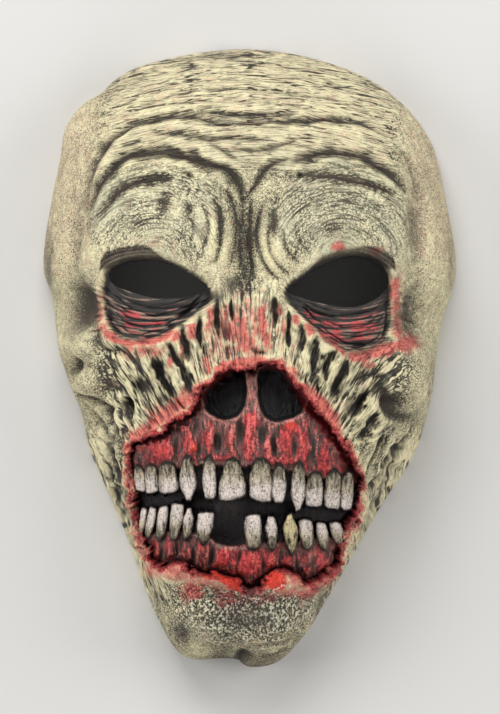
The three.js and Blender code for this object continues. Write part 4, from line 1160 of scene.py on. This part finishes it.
# How much dark shows: the wash in the hollows, painted shade in the creases and broad hollows with painted
# highlights on the crests and broad rises, the stains and the painted shade of dark patches, and how coarse
# the brushing is
near_tear = torn.step(-0.3, -0.05)
valley = hollow.step(0.1, 1.2)
crest = (0 - wide).most(0)
wash_and_shade = valley * 0.28 + wide.most(0) * 0.14 + far.most(0) * 0.3 + shadow * 0.3 + stain_and_shade * 0.5
dark = 0.04 + coarse * 0.1 - bite * 0.24 + green * 0.1 + near_tear * 0.2 + wash_and_shade
dark = dark + grain * (0.17 + coarse * 0.27 + bite * 0.3) + worm_line * (0.14 + coarse * 0.62 + bite * 0.42)
dark = dark + scratch_line * 0.9 + fine * 0.5 + breaks * 0.3 + patchy * 0.35
dark = dark - crest * 0.25 - (0 - far).most(0) * 0.1
cream = 1 - dark.step(-0.25, 1)
tone = (green * 0.4 + patchy * 2 + breaks * 1.2).step(0, 1)
light_paint = tone.over(CREAM, CREAM_GREEN)
light_paint = (pink * 0.9 + breaks * 1.6).step(0.2, 1).over(light_paint, CREAM_PINK)
dark_paint = tone.over(WASH, WASH_GREEN)
dark_paint = wash_and_shade.step(0.3, 0.9).over(dark_paint, WASH)

# Blood, glazed over the cream so that the dark grain still shows through
bloody = (blood * 1.2 - grain * 0.2 - worm_line * 0.2 + fine * 0.6 + breaks * 1.3).step(0.02, 0.85)
clotted = (near_tear * 0.9 + clumps * 2.6 + breaks * 1.4 + valley * 0.5 + 0.3).step(0.1, 1.2)
light_paint = (bloody * (0.84 + near_tear * 0.14)).over(light_paint, clotted.over(BLOOD, BLOOD_DARK))
dark_paint = (bloody * 0.8).over(dark_paint, BLOOD_DEEP)
fresh = (orange - grain * 0.1 + fine * 0.6).step(0.3, 0.8)
light_paint = fresh.over(light_paint, ORANGE)
skin = (cream + fresh * 0.3).over(dark_paint, light_paint)
# A painted highlight on the crests of the folds, over the dry-brushed cream
skin = (crest * 0.5).over(skin, light_paint)
# A glaze of painted shadow beside the creases and of painted shade over the stained and shaded patches
skin = (shadow * 0.38 + stain_and_shade * 0.32).over(skin, SHADE)

# The chin, speckled in black and chalky white
patch_at = stretched(mm_at, 1 / CHIN_PATCH_SIZE[0], 1 / CHIN_PATCH_SIZE[1], 0)
patch_middle = (CHIN_PATCH_MIDDLE[0] / CHIN_PATCH_SIZE[0], CHIN_PATCH_MIDDLE[1] / CHIN_PATCH_SIZE[1], 0)
spread = Paint.node("ShaderNodeVectorMath", {"operation": "DISTANCE"}, _0=patch_at, _1=patch_middle)
chin_patch = 1 - (Paint(spread.outputs["Value"]) + breaks * 1.2 + bloody * 0.4).step(0.5, 1.15)
speckle = noise(stretched(mm_at, 1.15, 0.85, 1), 0.76) * 9
skin = ((0 - speckle - 0.45).step(0, 0.8) * chin_patch * 0.8).over(skin, CHALK)
skin = ((speckle + 0.15).step(0, 0.9) * chin_patch * 0.85).over(skin, WASH)

# Ink in the stains and the painted shade, creases and slits, and scabs on the torn edge
pitted = (stain_and_shade * 1.15 + grain * 0.12 + fine * 0.5 - 0.1).step(0.25, 1)
skin = (pitted * 0.75).over(skin, INK_SOFT)
inked = (ink * 1.35 + grain * 0.12 + worm_line * 0.1 + fine * 0.5 + breaks * 1.3 - 0.55).step(0, 0.9)
ink_shade = (ink + grain * 0.15 + breaks * 0.8).step(0.45, 1.1).over(INK_SOFT, INK)
skin = (inked * 0.94).over(skin, ink_shade)
flecks = (clumps * 6 + fine * 2.4 + breaks * 1.6 - 0.06).step(0, 0.6) * torn.step(-0.28, -0.08)
skin = (flecks * 0.8).over(skin, SCAB)

# The lids and bags: dark grey, with pale and red scratches along the folds
lid_far = (0 - eye_depth).step(0.25, 1.3)
scratches = scratch * 4.4 + grain * 0.3 + lid_far * 1.1 - valley * 0.8 - 0.36 + breaks * 0.8 + blood * 0.7
pale = (blood * 1.3 + breaks * 2 + 0.1).step(0.2, 0.9).over(LID_PALE, LID_RED)
lid_shade = (worm_line * lid_far).over(LID, INK)
lid_shade = scratches.step(0, 1).over(lid_shade, pale)
lid_shade = (valley * 0.7 + ink * 0.9 + worm_line * 0.35 + grain * 0.2).step(0.2, 1.1).over(lid_shade, INK)
bag_share = (socket_depth + fine * 0.1).step(-0.03, 0.08)
skin = bag_share.over(skin, lid_shade)

# The gums: grey and red streaks that run down to the roots
streak = noise(stretched(mm_at, 0.7, 0.16, 0.3), 1, 3, 0.62)
blotch = noise(mm_at, 0.2, 2, 0.5)
near_nose = nostril_depth.step(-0.4, -0.08)
redness = gum_red * 1.2 + streak * 2.8 + blotch * 1.6 + fine * 0.8 - gum_pit * 0.9 - near_nose * 0.8 + 0.2
gum = (streak * 3 + fine * 1.6 + 0.4 + near_nose * 0.2).step(0, 1).over(GUM_DARK, GUM_GREY)
gum_shade = (gum_red * 0.7 + streak * 3.4 + clumps * 2 + 0.15 - valley * 0.6).step(0, 1.1)
gum_shade = gum_shade.over(GUM_DEEP, GUM_RED)
gum_shade = (orange * 1.2 + fine * 0.6).step(0.3, 0.9).over(gum_shade, ORANGE)
gum = (redness.step(-0.1, 0.9) * 0.92).over(gum, gum_shade)
gum = ((gum_pit * 1.5 + streak * 2.2 + fine * 0.6).step(0.15, 1.05) * 0.9).over(gum, GUM_PIT)
glint = (streak * 3 + fine * 2 + clumps * 2 - hollow * 0.7 - 0.25).step(0.1, 0.9)
gum = (glint * 0.72).over(gum, GUM_BRIGHT)

# The throat, the nostrils with a painted highlight along their rims, and the black and deep red band behind
# the torn edge, partly painted shade under its rolled lip and partly dark crust
at_root = root_gap.step(-0.3, -0.1)
pale_edge = at_root * (1 - root_gap.step(-0.1, 0)) * (breaks + fine).step(-0.05, 0.12)
gum = (pale_edge * 0.55).over(gum, GUM_PALE)
between = root_gap.step(-0.06, 0.08).most(gap_depth.step(-0.12, 0.04))
gum = (between * 0.95).over(gum, THROAT)
nostril_rim_highlight = nostril_depth.step(-0.12, -0.05) * (1 - nostril_depth.step(-0.03, 0.02))
gum = (nostril_rim_highlight * 0.5 * (streak + fine).step(-0.1, 0.1)).over(gum, GUM_PALE)
gum = nostril_depth.step(-0.06, 0.04).over(gum, THROAT)
near_edge = 1 - (torn + fine * 0.25 + breaks * 0.3 - edge_band_reach * 0.2 + 0.2).step(0.08, 0.34)
edge_band_blood = (edge_band_reach * 0.35 + blood * 0.5 + clumps * 3 + breaks).step(0.4, 1.1)
gum = (near_edge * 0.95).over(gum, edge_band_blood.over(THROAT, BLOOD_DEEP))

# The teeth: stained at the root, pinkish white at the tip, darker towards their edges, with cracks and
# black specks
crack = away(noise(stretched(mm_at, 0.7, 0.2, 0.3), 1, 2, 0.55), 0.05)
ivory = (along_tooth + grain * 0.1 + (tint - 0.5) * 0.3).step(0.28, 0.66).over(TOOTH_BODY, TOOTH_TIP)
ivory = (tint.step(0.9, 0.95) * 0.8).over(ivory, TOOTH_YELLOW)
ivory = (along_tooth + streak * 2.2 + fine * 0.9).step(0.05, 0.62).over(TOOTH_ROOT, ivory)
specks = noise(mm_at, 0.7, 2, 0.7).step(0.1, 0.18)
mottle = (noise(mm_at, 0.45, 3, 0.65) + streak - tint * 0.04).step(0, 0.22)
ivory = (mottle * 0.6).over(ivory, TOOTH_GREY)
ivory_share = (tooth_rise * 2 + fine * 1.4) * (0.45 + crack * 0.55) - specks * 0.8
ivory_share = ivory_share - (1 - along_tooth.step(-0.05, 0.2)) * 0.6
ivory_share = ivory_share - (0.5 - streak * 4).step(0.6, 1.4) * (1 - along_tooth.step(0.25, 0.75)) * 0.7
ivory = ivory_share.step(0.15, 0.85).over(TOOTH_DARK, ivory)

# Skin, mouth and teeth together, wetter in the mouth than on the skin, and all dark on the bare back
is_tooth = tooth_rise.step(0.05, 0.16)
in_mouth = torn.step(-0.02, 0.03)
surface = in_mouth.over(skin, is_tooth.over(gum, ivory))
bare = Paint(Paint.node("ShaderNodeAttribute", {"attribute_name": "bare_back"}).outputs["Fac"])
surface = bare.over(surface, BARE)
wet = in_mouth * (1 - is_tooth * 0.4) + bloody * 0.35 + bag_share * 0.2
roughness = 0.7 - wet * 0.24 + fine * 0.12
relief = fine * 1.2 - grain * 0.7 - scratch_line * 0.6 + streak * in_mouth * 3
bump = Paint.node("ShaderNodeBump", Height=relief * (1 - bare), Strength=0.7, Distance=BUMP_HEIGHT)
paint_tree.links.new(surface.socket, skin_shader.inputs["Base Color"])
paint_tree.links.new(roughness.socket, skin_shader.inputs["Roughness"])
paint_tree.links.new(bump.outputs["Normal"], skin_shader.inputs["Normal"])
skin_shader.inputs["Specular IOR Level"].default_value = GLOSS

# The finished mask
# The painted casting, shaded smooth but for its sharpest creases. It stands for the plain solid of the CAD
# model and has nothing that moves.
CREASE_ANGLE = 50
mask.data.materials.clear()
mask.data.materials.append(latex)
bpy.ops.object.select_all(action="DESELECT")
mask.select_set(True)
bpy.context.view_layer.objects.active = mask
bpy.ops.object.shade_smooth_by_angle(angle=math.radians(CREASE_ANGLE))
mask.data.update()
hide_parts("zombie_mask")
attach(mask, "root")

bpy.context.view_layer.update()
